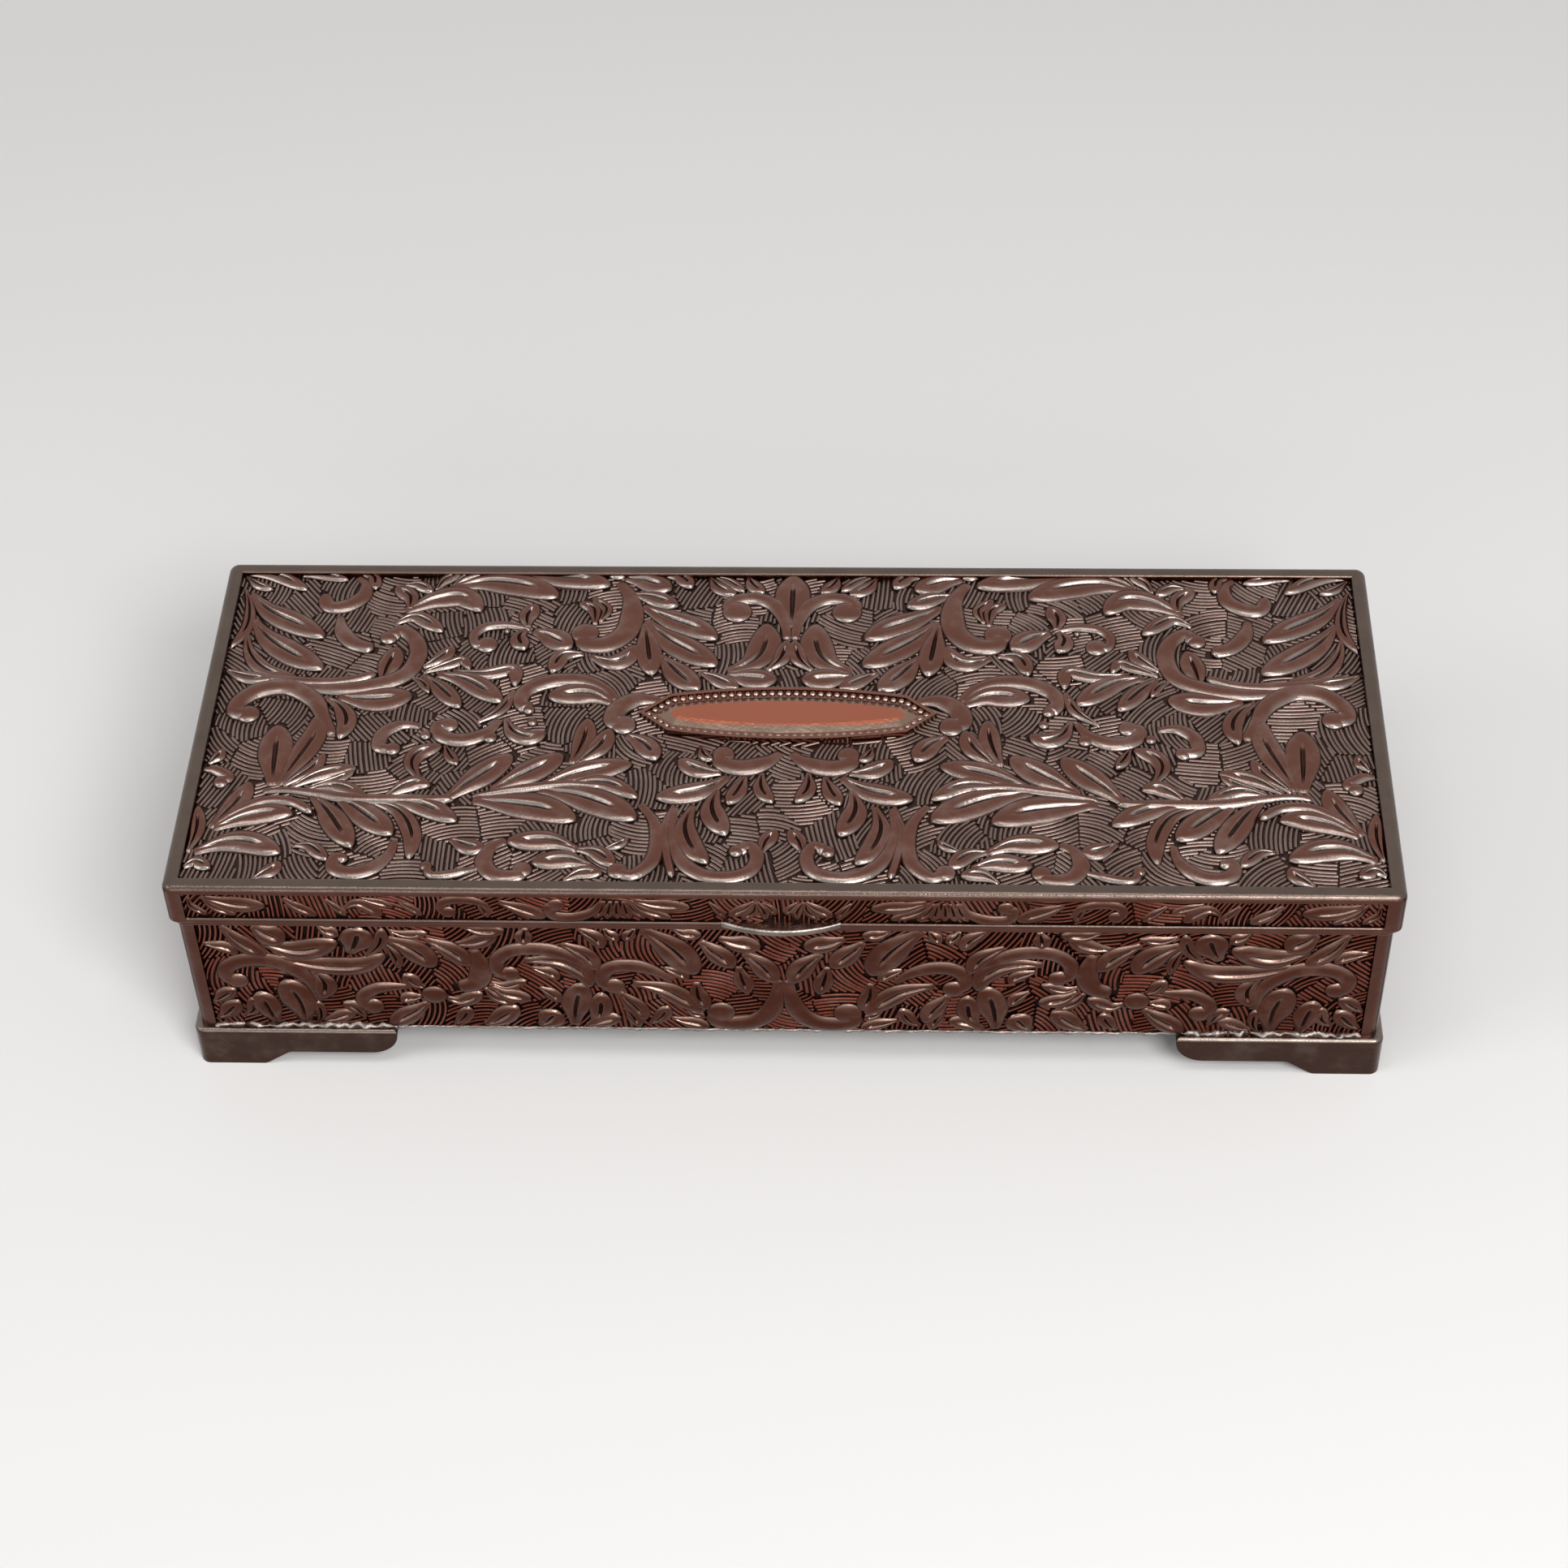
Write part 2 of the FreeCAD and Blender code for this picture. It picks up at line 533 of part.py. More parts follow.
# The sizes that several pieces share
half_length = S.box_length / 2
half_width = S.box_width / 2
seam_height = S.box_height - S.lid_height
body_half_length = half_length - S.lid_overhang
body_half_width = half_width - S.lid_overhang
body_height = seam_height - S.foot_height
cavity_half_length = body_half_length - S.body_wall
cavity_half_width = body_half_width - S.body_wall
cavity_floor = S.foot_height + S.body_floor
field_half_length = half_length - S.rim_width
field_half_width = half_width - S.rim_width
carving_ground = S.box_height - S.top_carving_depth
wall_half_run = body_half_length - S.body_post
side_half_run = body_half_width - S.body_post
wall_field_height = body_height - S.body_bead_height
wall_field_middle = S.foot_height + wall_field_height / 2
hinge_pad_low = seam_height - S.hinge_pad_height
hinge_pad_length = S.hinge_length + S.hinge_pad_edge * 2
leaf_seat = half_width - S.lid_carving_depth
leaf_face = leaf_seat + S.leaf_thickness
axis_y = half_width + S.hinge_axis_out
barrel_room = S.knuckle_radius + S.leaf_clearance
hinge_low_x = -(S.hinge_spacing / 2) - S.hinge_length / 2
recess_length = S.hinge_length + (S.pin_end + S.leaf_clearance) * 2
recess_low_x = -(S.hinge_spacing / 2) - recess_length / 2


def cut_for_hinges(body, name, bead_low, bead_height):
    """Cuts the barrel's groove and the leaf's way through the bead, at both hinges."""
    way = rectangle_on(
        body, "XZ_Plane", f"{name}_leaf_way_plan",
        (recess_low_x, bead_low), (recess_length, bead_height), -(half_width),
    )
    leaf_way = feature(body, "Pocket", f"{name}_leaf_way", way, S.lid_carving_depth, backwards=True)
    both_sides(body, f"{name}_leaf_ways", "YZ_Plane", leaf_way)
    circle = circles_on(
        body, "YZ_Plane", f"{name}_barrel_plan", (axis_y, seam_height),
        recess_low_x + recess_length, [(0, 0)], barrel_room,
    )
    groove = feature(body, "Pocket", f"{name}_groove", circle, recess_length)
    both_sides(body, f"{name}_grooves", "YZ_Plane", groove)


def drill_for_rivets(body, name, height, depth):
    """Drills the rivet holes of both hinges through the rear wall."""
    holes = circles_on(
        body, "XZ_Plane", f"{name}_rivet_plan",
        (-(S.hinge_spacing / 2) - S.rivet_spacing / 2, height), -(leaf_seat),
        [(0, 0), (S.rivet_spacing, 0)], S.rivet_radius + S.rivet_clearance,
    )
    drilled = feature(body, "Pocket", f"{name}_rivet_holes", holes, depth, backwards=True)
    both_sides(body, f"{name}_all_rivet_holes", "YZ_Plane", drilled)


# The cast body: a floor, and four walls sunk for their carved panels, with a bead round the mouth
def make_base_body():
    body = new_body("base_body")
    plan = rectangle_on(
        body, "XY_Plane", "body_plan", (-(body_half_length), -(body_half_width)),
        (body_half_length * 2, body_half_width * 2), S.foot_height,
    )
    feature(body, "Pad", "body_block", plan, body_height)
    rounded(body, "body_corners", S.corner_round, upright_at(body_half_length, body_half_width))
    bead_half_length = body_half_length + S.body_bead_proud
    bead_half_width = body_half_width + S.body_bead_proud
    bead_low = seam_height - S.body_bead_height
    bead_plan = rectangle_on(
        body, "XY_Plane", "bead_plan", (-(bead_half_length), -(bead_half_width)),
        (bead_half_length * 2, bead_half_width * 2), bead_low,
    )
    feature(body, "Pad", "bead_block", bead_plan, S.body_bead_height)
    bead_corner = S.corner_round + S.body_bead_proud
    rounded(body, "bead_corners", bead_corner, upright_at(bead_half_length, bead_half_width))
    top_rim = level_at(seam_height, bead_half_length, bead_half_width)
    low_rim = level_at(bead_low, bead_half_length, bead_half_width)
    rounded(body, "bead_rounding", S.bead_round, lambda box: top_rim(box) or low_rim(box))
    mouth = rectangle_on(
        body, "XY_Plane", "cavity_plan", (-(cavity_half_length), -(cavity_half_width)),
        (cavity_half_length * 2, cavity_half_width * 2), seam_height,
    )
    feature(body, "Pocket", "cavity", mouth, body_height - S.body_floor)
    recess_depth = S.body_carving_depth + S.panel_thickness
    for name, role, half_run, out in (
        ("front", "XZ_Plane", wall_half_run, body_half_width),
        ("side", "YZ_Plane", side_half_run, body_half_length),
    ):
        panel = rectangle_on(
            body, role, f"{name}_panel_plan", (-(half_run), S.foot_height),
            (half_run * 2, wall_field_height), out,
        )
        field = feature(body, "Pocket", f"{name}_panel", panel, recess_depth)
        both_sides(body, f"{name}_panels", role, field)
    panel_floor = body_half_width - recess_depth
    seat = rectangle_on(
        body, "XZ_Plane", "hinge_pad_plan",
        (-(S.hinge_spacing / 2) - hinge_pad_length / 2, hinge_pad_low),
        (hinge_pad_length, S.hinge_pad_height), -(panel_floor),
    )
    pad = feature(body, "Pad", "hinge_pad", seat, leaf_seat - panel_floor, backwards=True)
    both_sides(body, "hinge_pads", "YZ_Plane", pad)
    cut_for_hinges(body, "body", bead_low - S.leaf_clearance, S.body_bead_height + S.leaf_clearance)
    drill_for_rivets(body, "body", seam_height - S.rivet_drop, leaf_seat - cavity_half_width)
    return body


# The cast lid: a top plate sunk inside a rounded rim for the carved panel, and four banded sides
def make_lid_shell():
    body = new_body("lid_shell")
    plan = rectangle_on(
        body, "XY_Plane", "lid_plan", (-(half_length), -(half_width)),
        (S.box_length, S.box_width), seam_height,
    )
    feature(body, "Pad", "lid_block", plan, S.lid_height)
    rounded(body, "lid_corners", S.corner_round, upright_at(half_length, half_width))
    rounded(body, "rim_rounding", S.rim_round, level_at(S.box_height, half_length, half_width))
    rounded(body, "lid_foot_rounding", S.bead_round, level_at(seam_height, half_length, half_width))
    field = rectangle_on(
        body, "XY_Plane", "top_field_plan", (-(field_half_length), -(field_half_width)),
        (field_half_length * 2, field_half_width * 2), S.box_height,
    )
    feature(body, "Pocket", "top_field", field, S.top_carving_depth + S.panel_thickness)
    rounded(
        body, "rim_inner_rounding", S.rim_inner_round,
        level_at(S.box_height, field_half_length, field_half_width),
    )
    inside_half_length = half_length - S.lid_wall
    inside_half_width = half_width - S.lid_wall
    mouth = rectangle_on(
        body, "XY_Plane", "lid_cavity_plan", (-(inside_half_length), -(inside_half_width)),
        (inside_half_length * 2, inside_half_width * 2), seam_height,
    )
    depth = S.lid_height - S.top_carving_depth - S.lid_plate
    feature(body, "Pocket", "lid_cavity", mouth, depth, backwards=True)
    band_low = seam_height + S.lid_bead_height
    band_height = S.lid_height - S.lid_bead_height - S.rim_side_height
    for name, role, half_run, out in (
        ("front", "XZ_Plane", half_length - S.lid_post, half_width),
        ("side", "YZ_Plane", half_width - S.lid_post, half_length),
    ):
        band = rectangle_on(
            body, role, f"{name}_band_plan", (-(half_run), band_low), (half_run * 2, band_height), out
        )
        sunk = feature(body, "Pocket", f"{name}_band", band, S.lid_carving_depth)
        both_sides(body, f"{name}_bands", role, sunk)
    rounded(body, "band_ledge_rounding", S.bead_round, level_at(band_low, half_length, half_width))
    seat = rectangle_on(
        body, "XZ_Plane", "lip_seat_plan", (-(S.lip_length / 2), seam_height),
        (S.lip_length, S.lip_thickness), half_width,
    )
    feature(body, "Pocket", "lip_seat", seat, S.lid_carving_depth)
    cut_for_hinges(body, "lid", seam_height, S.lid_bead_height + S.leaf_clearance)
    drill_for_rivets(body, "lid", seam_height + S.rivet_drop, leaf_seat - inside_half_width)
    return body


# The thumb lip: a slice of a large disc, let into the lid's lower bead
def make_thumb_lip():
    chord = S.lip_length / 2
    radius = (chord * chord + S.lip_proud * S.lip_proud) / (S.lip_proud * 2)
    front = half_width + S.lip_proud
    disc = rod(
        "lip_disc", radius, S.lip_thickness, (0, radius - front, seam_height), FreeCAD.Rotation()
    )
    slice_depth = S.lip_proud + S.lid_carving_depth
    room = block(
        "lip_room", (-(chord), -(front), seam_height), (S.lip_length, slice_depth, S.lip_thickness)
    )
    flat_lip = doc.addObject("Part::MultiCommon", "lip_slice")
    flat_lip.Shapes = [disc, room]
    doc.recompute()
    lip = doc.addObject("Part::Fillet", "thumb_lip")
    lip.Base = flat_lip
    bent = [
        n for n, edge in enumerate(flat_lip.Shape.Edges, start=1)
        if same(edge.BoundBox.YMin, -(front)) and same(edge.BoundBox.ZMin, edge.BoundBox.ZMax)
    ]
    lip.Edges = [(n, S.lip_round.value, S.lip_round.value) for n in bent]
    return lip


def bowed_hexagon(half_long, shoulder, shoulder_half, half_wide):
    """A pointed plate's outline, whose two long sides bow outwards."""
    left, right = FreeCAD.Vector(-half_long, 0), FreeCAD.Vector(half_long, 0)
    corners = [FreeCAD.Vector(x * shoulder, y * shoulder_half) for x, y in CORNER_SIGNS]
    back_left, back_right, front_right, front_left = corners
    middle_back, middle_front = FreeCAD.Vector(0, half_wide), FreeCAD.Vector(0, -half_wide)
    return Part.Wire([
        Part.LineSegment(left, back_left).toShape(),
        Part.Arc(back_left, middle_back, back_right).toShape(),
        Part.LineSegment(back_right, right).toShape(),
        Part.LineSegment(right, front_right).toShape(),
        Part.Arc(front_right, middle_front, front_left).toShape(),
        Part.LineSegment(front_left, left).toShape(),
    ])


# The blank name plate: a pointed plate with a rim, a channel for beads and a bevelled field
def make_name_plate():
    outline = bowed_hexagon(
        S.plate_half_length.value, S.plate_shoulder.value,
        S.plate_shoulder_half_width.value, S.plate_half_width.value,
    )
    face = Part.Face(outline)
    thick = S.plate_thickness.value
    channel_depth = FreeCAD.Vector(0, 0, S.plate_channel_depth.value)
    inside_rim = face.makeOffset2D(-S.plate_rim.value, join=SHARP_JOIN)
    field_foot = face.makeOffset2D(-(S.plate_rim + S.plate_channel).value, join=SHARP_JOIN)
    field_top = face.makeOffset2D(
        -(S.plate_rim + S.plate_channel + S.plate_bevel).value, join=SHARP_JOIN
    )
    top = FreeCAD.Vector(0, 0, thick)
    plate = face.extrude(top)
    inside_rim.translate(top - channel_depth)
    plate = plate.cut(inside_rim.extrude(channel_depth))
    field_foot.translate(top - channel_depth)
    field_top.translate(top)
    field = Part.makeLoft([field_foot.OuterWire, field_top.OuterWire], True, True)
    made = doc.addObject("Part::Feature", "name_plate")
    made.Shape = plate.fuse(field).removeSplitter()
    return put(made, 0, S.plate_back_shift, carving_ground)


def across(direction):
    """The level direction to the left of another."""
    return UP.cross(direction)


def sides_moved_in(corners, run):
    """The corners of a counter-clockwise outline after each of its sides moves in."""
    count = len(corners)
    sides = [(corner - corners[index - 1]).normalize() for index, corner in enumerate(corners)]
    moved = []
    for index, corner in enumerate(corners):
        before, after = sides[index], sides[(index + 1) % count]
        reach = run / (1 + before.dot(after))
        moved.append(corner + (across(before) + across(after)) * reach)
    return moved


def raised(foot, height, draft):
    """A low form with a flat top and leaning sides, from its counter-clockwise foot."""
    top = [corner + UP * height for corner in sides_moved_in(foot, draft)]
    outlines = [foot, top]
    for index in range(len(foot)):
        outlines.append([foot[index - 1], foot[index], top[index], top[index - 1]])
    faces = [Part.Face(Part.makePolygon([*corners, corners[0]])) for corners in outlines]
    return Part.makeSolid(Part.makeShell(faces))


def ridge(spine, half_widths, height):
    """A low bent ridge along a spine, with its half width at each place."""
    runs = [(after - before).normalize() for before, after in zip(spine, spine[1:])]
    right, left = [], []
    for index, (place, half_wide) in enumerate(zip(spine, half_widths)):
        before, after = runs[max(index - 1, 0)], runs[min(index, len(runs) - 1)]
        reach = (across(before) + across(after)) * (half_wide / (1 + before.dot(after)))
        right.append(place - reach)
        left.append(place + reach)
    draft = min(S.carving_draft.value, min(half_widths) * DRAFT_LIMIT_SHARE)
    return raised([*right, *left[::-1]], height, draft)


class CarvedField:
    """A thin panel with leaves and scrolls, drawn face up round its own middle."""

    def __init__(self, half_x, half_y, leaf_width, leaf_height, scroll_width, scroll_height, drawn_half_x):
        self.half_x = (half_x - S.panel_clearance).value
        self.half_y = (half_y - S.panel_clearance).value
        self.scale = (drawn_half_x.value, half_y.value)
        self.leaf_width = leaf_width.value
        self.leaf_height = leaf_height.value
        self.scroll_width = scroll_width.value
        self.scroll_height = scroll_height.value

    def fits(self, places_shares):
        """Whether places lie on the panel."""
        return all(abs(x) * self.scale[0] < self.half_x for x, y in places_shares)

    def places(self, places_shares):
        """Places on the panel, from shares of half the drawing."""
        return [FreeCAD.Vector(x * self.scale[0], y * self.scale[1]) for x, y in places_shares]

    def leaf(self, width_share, *places_shares):
        """One leaf, narrow at its root and blunt at its tip."""
        spine = self.places(places_shares)
        half_wide = self.leaf_width / 2 * width_share
        shares = [LEAF_ROOT_SHARE, *[1] * (len(spine) - 2), LEAF_TIP_SHARE]
        return ridge(spine, [half_wide * share for share in shares], self.leaf_height)

    def ball(self, radius_share, place_shares):
        """The round end of a scroll, or the button of a flower."""
        middle = self.places([place_shares])[0]
        radius = S.carved_ball_radius.value * radius_share
        turns = [QUARTER_TURN * 4 * side / BALL_SIDES for side in range(BALL_SIDES)]
        rim = [middle + FreeCAD.Vector(math.cos(turn), math.sin(turn)) * radius for turn in turns]
        draft = min(S.carving_draft.value, radius * DRAFT_LIMIT_SHARE)
        return raised(rim, self.scroll_height, draft)

    def band(self, width_share, *places_shares):
        """One scroll's band, a little narrower at its stem."""
        spine = self.places(places_shares)
        half_wide = self.scroll_width / 2 * width_share
        shares = [SCROLL_STEM_SHARE, *[1] * (len(spine) - 1)]
        return ridge(spine, [half_wide * share for share in shares], self.scroll_height)

    def carving(self, leaf_rows, scroll_rows, buttons, middle_leaves):
        """Everything that stands on the panel, its right half as its left half's mirror image."""
        forms = [self.leaf(*row) for row in leaf_rows if self.fits(row[1:])]
        for width_share, ball_share, *places_shares in scroll_rows:
            if self.fits(places_shares):
                forms.append(self.band(width_share, *places_shares))
                forms.append(self.ball(ball_share, places_shares[-1]))
        forms += [self.ball(*button) for button in buttons if self.fits(button[1:])]
        left = forms[0].multiFuse(forms[1:])
        right = left.mirror(FreeCAD.Vector(), ACROSS_X)
        return left.multiFuse([right, *(self.leaf(*row) for row in middle_leaves)])

    def panel(self, name, carving, *rooms):
        """The panel with its carving, less the rooms of what stands in it."""
        corner = FreeCAD.Vector(-self.half_x, -self.half_y)
        sides = (self.half_x * 2, self.half_y * 2)
        tallest = max(self.leaf_height, self.scroll_height)
        thick = S.panel_thickness.value
        shape = carving.common(Part.makeBox(*sides, tallest, corner))
        shape = shape.fuse(Part.makeBox(*sides, thick, corner - UP * thick))
        for room in rooms:
            shape = shape.cut(room)
        made = doc.addObject("Part::Feature", name)
        made.Shape = shape.removeSplitter()
        return made


# The lid's carved panel, whose carving keeps clear of the name plate that lies on it
def make_lid_panel():
    field = CarvedField(
        field_half_length, field_half_width, S.top_leaf_width, S.top_leaf_height,
        S.top_scroll_width, S.top_scroll_height, field_half_length,
    )
    carving = field.carving(TOP_LEAF_SHARES, TOP_SCROLL_SHARES, (), [TOP_MIDDLE_LEAF_SHARES])
    plate_foot = Part.Face(bowed_hexagon(
        S.plate_half_length.value, S.plate_shoulder.value,
        S.plate_shoulder_half_width.value, S.plate_half_width.value,
    )).makeOffset2D(S.panel_clearance.value, join=SHARP_JOIN)
    plate_foot.translate(FreeCAD.Vector(0, S.plate_back_shift.value, 0))
    room = plate_foot.extrude(UP * S.plate_thickness.value)
    return put(field.panel("lid_carved_panel", carving, room), 0, 0, carving_ground)


# The carved panels of the four walls; the rear one is open round the seats of the hinges
def make_wall_panels():
    sizes = (S.wall_leaf_width, S.wall_leaf_height, S.wall_scroll_width, S.wall_scroll_height)
    y = body_half_width - S.body_carving_depth
    x = body_half_length - S.body_carving_depth
    clear = S.panel_clearance
    room_low = (hinge_pad_low - wall_field_middle - clear).value
    room_length = (hinge_pad_length + clear * 2).value
    room_sides = (room_length, S.hinge_pad_height.value, S.box_width.value)
    rooms = [
        Part.makeBox(*room_sides, FreeCAD.Vector(
            middle.value - room_length / 2, room_low, -S.body_wall.value
        ))
        for middle in (-(S.hinge_spacing / 2), S.hinge_spacing / 2)
    ]
    made = []
    for side, turn, half_run, place, cut in (
        ("front", 0, wall_half_run, (0, -(y)), ()),
        ("rear", 180, wall_half_run, (0, y), rooms),
        ("left", -90, side_half_run, (-(x), 0), ()),
        ("right", 90, side_half_run, (x, 0), ()),
    ):
        field = CarvedField(half_run, wall_field_height / 2, *sizes, wall_half_run)
        carving = field.carving(WALL_LEAF_SHARES, WALL_SCROLL_SHARES, [WALL_BUTTON_SHARES], ())
        rotation = FreeCAD.Rotation(UP, turn).multiply(STANDING)
        made.append(put(field.panel(f"{side}_carved_panel", carving, *cut), *place, wall_field_middle, rotation))
    return made


def foot_side(body, name, role, arm_length, start, out):
    """The side view of one arm of a bracket foot: a pad, a step, and an arm with a round end."""
    sketch = sketch_on(body, role, name, start, 0, out)
    rise = S.foot_arm_clearance
    end_round = S.foot_height - S.foot_tip - rise
    arc_start = arm_length - end_round
    corners = [
        (0, 0), (S.foot_pad_length, 0), (S.foot_pad_length + S.foot_step_run, rise),
        (arc_start, rise), (arm_length, rise + end_round), (arm_length, S.foot_height),
        (0, S.foot_height),
    ]
    arc_index = 3
    points = [FreeCAD.Vector(as_size(x).value, as_size(y).value, 0) for x, y in corners]
    count = len(points)
    for index in range(count):
        if index == arc_index:
            middle = FreeCAD.Vector(arc_start.value, (rise + end_round).value, 0)
            circle = Part.Circle(middle, FreeCAD.Vector(0, 0, 1), end_round.value)
            quarter = Part.ArcOfCircle(circle, QUARTER_TURN * 3, QUARTER_TURN * 4)
            sketch.addGeometry(quarter, False)
        else:
            line = Part.LineSegment(points[index], points[(index + 1) % count])
            sketch.addGeometry(line, False)
    for index in range(count):
        following = (index + 1) % count
        sketch.addConstraint(Sketcher.Constraint("Coincident", index, 2, following, 1))
    for index, (x, y) in enumerate(corners):
        if index != arc_index:
            hold_point(sketch, index, 1, x, y)
    hold_point(sketch, arc_index - 1, 2, *corners[arc_index])
    held = sketch.addConstraint(
        Sketcher.Constraint("DistanceX", -1, 1, arc_index, 3, arc_start.value)
    )
    bind(sketch, f"Constraints[{held}]", arc_start)
    return sketch


# A bracket foot at the front left corner: two arms that meet at the corner pad
def make_foot():
    body = new_body("foot_front_left")
    front = foot_side(
        body, "foot_front_plan", "XZ_Plane", S.foot_arm_length, -(half_length), half_width
    )
    feature(body, "Pad", "foot_front_arm", front, S.foot_thickness, backwards=True)
    side = foot_side(
        body, "foot_side_plan", "YZ_Plane", S.foot_side_arm_length, -(half_width), -(half_length)
    )
    feature(body, "Pad", "foot_side_arm", side, S.foot_thickness)
    rounded(body, "foot_corner", S.corner_round, upright_at(half_length, half_width))
    pad_end = S.foot_pad_length
    arm_start = S.foot_pad_length + S.foot_step_run
    rounded(
        body, "foot_step_rounding", S.foot_step_round,
        lambda box: any(
            same(box.ZMin, z) and same(box.ZMax, z) and (
                (same(box.XMin, along - half_length) and same(box.XMax, along - half_length))
                or (same(box.YMin, along - half_width) and same(box.YMax, along - half_width))
            )
            for z, along in ((0, pad_end), (S.foot_arm_clearance, arm_start))
        ),
    )
    rounded(
        body, "foot_top_rounding", S.foot_edge_round,
        lambda box: same(box.ZMin, S.foot_height) and (
            same(box.YMin, -(half_width)) or same(box.XMin, -(half_length))
        ),
    )
    return body


def make_leaf(name, side, plate_low, tongue_low, tongue_height, knuckles, heel):
    """One leaf of the left hinge, with its knuckles, bore and rivet holes."""
    pieces = [
        block(
            f"{name}_plate", (hinge_low_x, leaf_seat, plate_low),
            (S.hinge_length, S.leaf_thickness, S.leaf_height),
        )
    ]
    for index, (start, length) in enumerate(knuckles):
        low_x = hinge_low_x + start
        pieces.append(rod(
            f"{name}_knuckle_{index}", S.knuckle_radius, length,
            (low_x, axis_y, seam_height), ALONG_X,
        ))
        pieces.append(block(
            f"{name}_tongue_{index}", (low_x, leaf_seat, tongue_low),
            (length, S.leaf_thickness, tongue_height),
        ))
        if heel:
            pieces.append(block(
                f"{name}_heel_{index}", (low_x, axis_y, seam_height - S.knuckle_radius),
                (length, S.knuckle_radius + S.heel_proud, S.knuckle_radius),
            ))
    bore = rod(
        f"{name}_bore", S.pin_radius + S.pin_clearance, S.hinge_length + S.cut_overrun * 2,
        (hinge_low_x - S.cut_overrun, axis_y, seam_height), ALONG_X,
    )
    holes = [
        rod(
            f"{name}_rivet_hole_{index}", S.rivet_radius + S.rivet_clearance,
            S.leaf_thickness + S.cut_overrun * 2,
            (-(S.hinge_spacing / 2) + S.rivet_spacing * share, leaf_seat - S.cut_overrun,
             seam_height + S.rivet_drop * side),
            ALONG_Y,
        )
        for index, share in enumerate(RIVET_SHARES)
    ]
    return without(name, fused(f"{name}_blank", *pieces), bore, *holes)


def make_rivets(name, side, wall_face):
    """The rivets that hold the leaves to a rear wall, two to a leaf."""
    shank_length = leaf_face - wall_face
    left = []
    for index, share in enumerate(RIVET_SHARES):
        x = -(S.hinge_spacing / 2) + S.rivet_spacing * share
        z = seam_height + S.rivet_drop * side
        shank = rod(f"{name}_shank_{index}", S.rivet_radius, shank_length, (x, wall_face, z), ALONG_Y)
        head = doc.addObject("Part::Cone", f"{name}_head_{index}")
        bind(head, "Radius1", S.rivet_head_radius)
        bind(head, "Radius2", S.rivet_head_top_radius)
        bind(head, "Height", S.rivet_head_height)
        put(head, x, leaf_face, z, ALONG_Y)
        left.append(fused(f"{name}_{index}", shank, head))
    pair = group(f"{name}_left", *left)
    return group(name, pair, mirrored(f"{name}_right", pair, ACROSS_X))


def make_hinges():
    """Both hinges: leaves, pins and rivets, the right one as the left one's mirror image."""
    middle_start = S.knuckle_length + S.knuckle_gap
    middle_length = S.hinge_length - middle_start * 2
    outer = [(as_size(0), S.knuckle_length), (S.hinge_length - S.knuckle_length, S.knuckle_length)]
    base_top = seam_height - barrel_room
    left = {
        "base_leaf": make_leaf(
            "hinge_left_base_leaf", -1, base_top - S.leaf_height, base_top, barrel_room, outer, True
        ),
        "lid_leaf": make_leaf(
            "hinge_left_lid_leaf", 1, seam_height + barrel_room, seam_height, barrel_room,
            [(middle_start, middle_length)], False,
        ),
        "pin": rod(
            "hinge_left_pin", S.pin_radius, S.hinge_length + S.pin_end * 2,
            (hinge_low_x - S.pin_end, axis_y, seam_height), ALONG_X,
        ),
    }
    right = {
        name: mirrored(f"hinge_right_{name}", piece, ACROSS_X) for name, piece in left.items()
    }
    rivets = {
        "base_leaf_rivets": make_rivets("base_leaf_rivets", -1, cavity_half_width),
        "lid_leaf_rivets": make_rivets("lid_leaf_rivets", 1, half_width - S.lid_wall),
    }
    return [*left.values(), *right.values(), *rivets.values()]


def cushion(name, half_x, half_y, low, thickness, soft_level):
    """A flat pad whose edges are rounded at its soft face."""
    body = new_body(name)
    plan = rectangle_on(
        body, "XY_Plane", f"{name}_plan", (-(half_x), -(half_y)), (half_x * 2, half_y * 2), low
    )
    feature(body, "Pad", f"{name}_block", plan, thickness)
    rounded(body, f"{name}_rounding", S.pad_round, level_at(soft_level, half_x, half_y))
    return body


# The linings: cloth-covered card strips round the walls, and a card and a pad below and above
def make_linings():
    top = seam_height - S.lining_below_seam
    high = top - cavity_floor
    thick = S.lining_thickness
    between = cavity_half_width * 2 - thick * 2
    long_size = (cavity_half_length * 2, thick, high)
    front = block("lining_front", (-(cavity_half_length), -(cavity_half_width), cavity_floor), long_size)
    rear = block(
        "lining_rear", (-(cavity_half_length), cavity_half_width - thick, cavity_floor), long_size
    )
    left = block(
        "lining_left", (-(cavity_half_length), thick - cavity_half_width, cavity_floor),
        (thick, between, high),
    )
    right = mirrored("lining_right", left, ACROSS_X)
    pad_x = cavity_half_length - thick - S.lining_gap
    pad_y = cavity_half_width - thick - S.lining_gap
    floor_card = block(
        "floor_card", (-(pad_x), -(pad_y), cavity_floor), (pad_x * 2, pad_y * 2, S.card_thickness)
    )
    pad_low = cavity_floor + S.card_thickness
    floor_pad = cushion(
        "floor_pad", pad_x, pad_y, pad_low, S.floor_pad_thickness, pad_low + S.floor_pad_thickness
    )
    ceiling = S.box_height - S.top_carving_depth - S.lid_plate
    lid_x = half_length - S.lid_wall - S.lining_gap
    lid_y = half_width - S.lid_wall - S.lining_gap
    card_low = ceiling - S.card_thickness
    lid_card = block("lid_card", (-(lid_x), -(lid_y), card_low), (lid_x * 2, lid_y * 2, S.card_thickness))
    lid_pad_low = card_low - S.lid_pad_thickness
    lid_pad = cushion("lid_pad", lid_x, lid_y, lid_pad_low, S.lid_pad_thickness, lid_pad_low)
    return [front, rear, left, right, floor_card, floor_pad, lid_card, lid_pad]


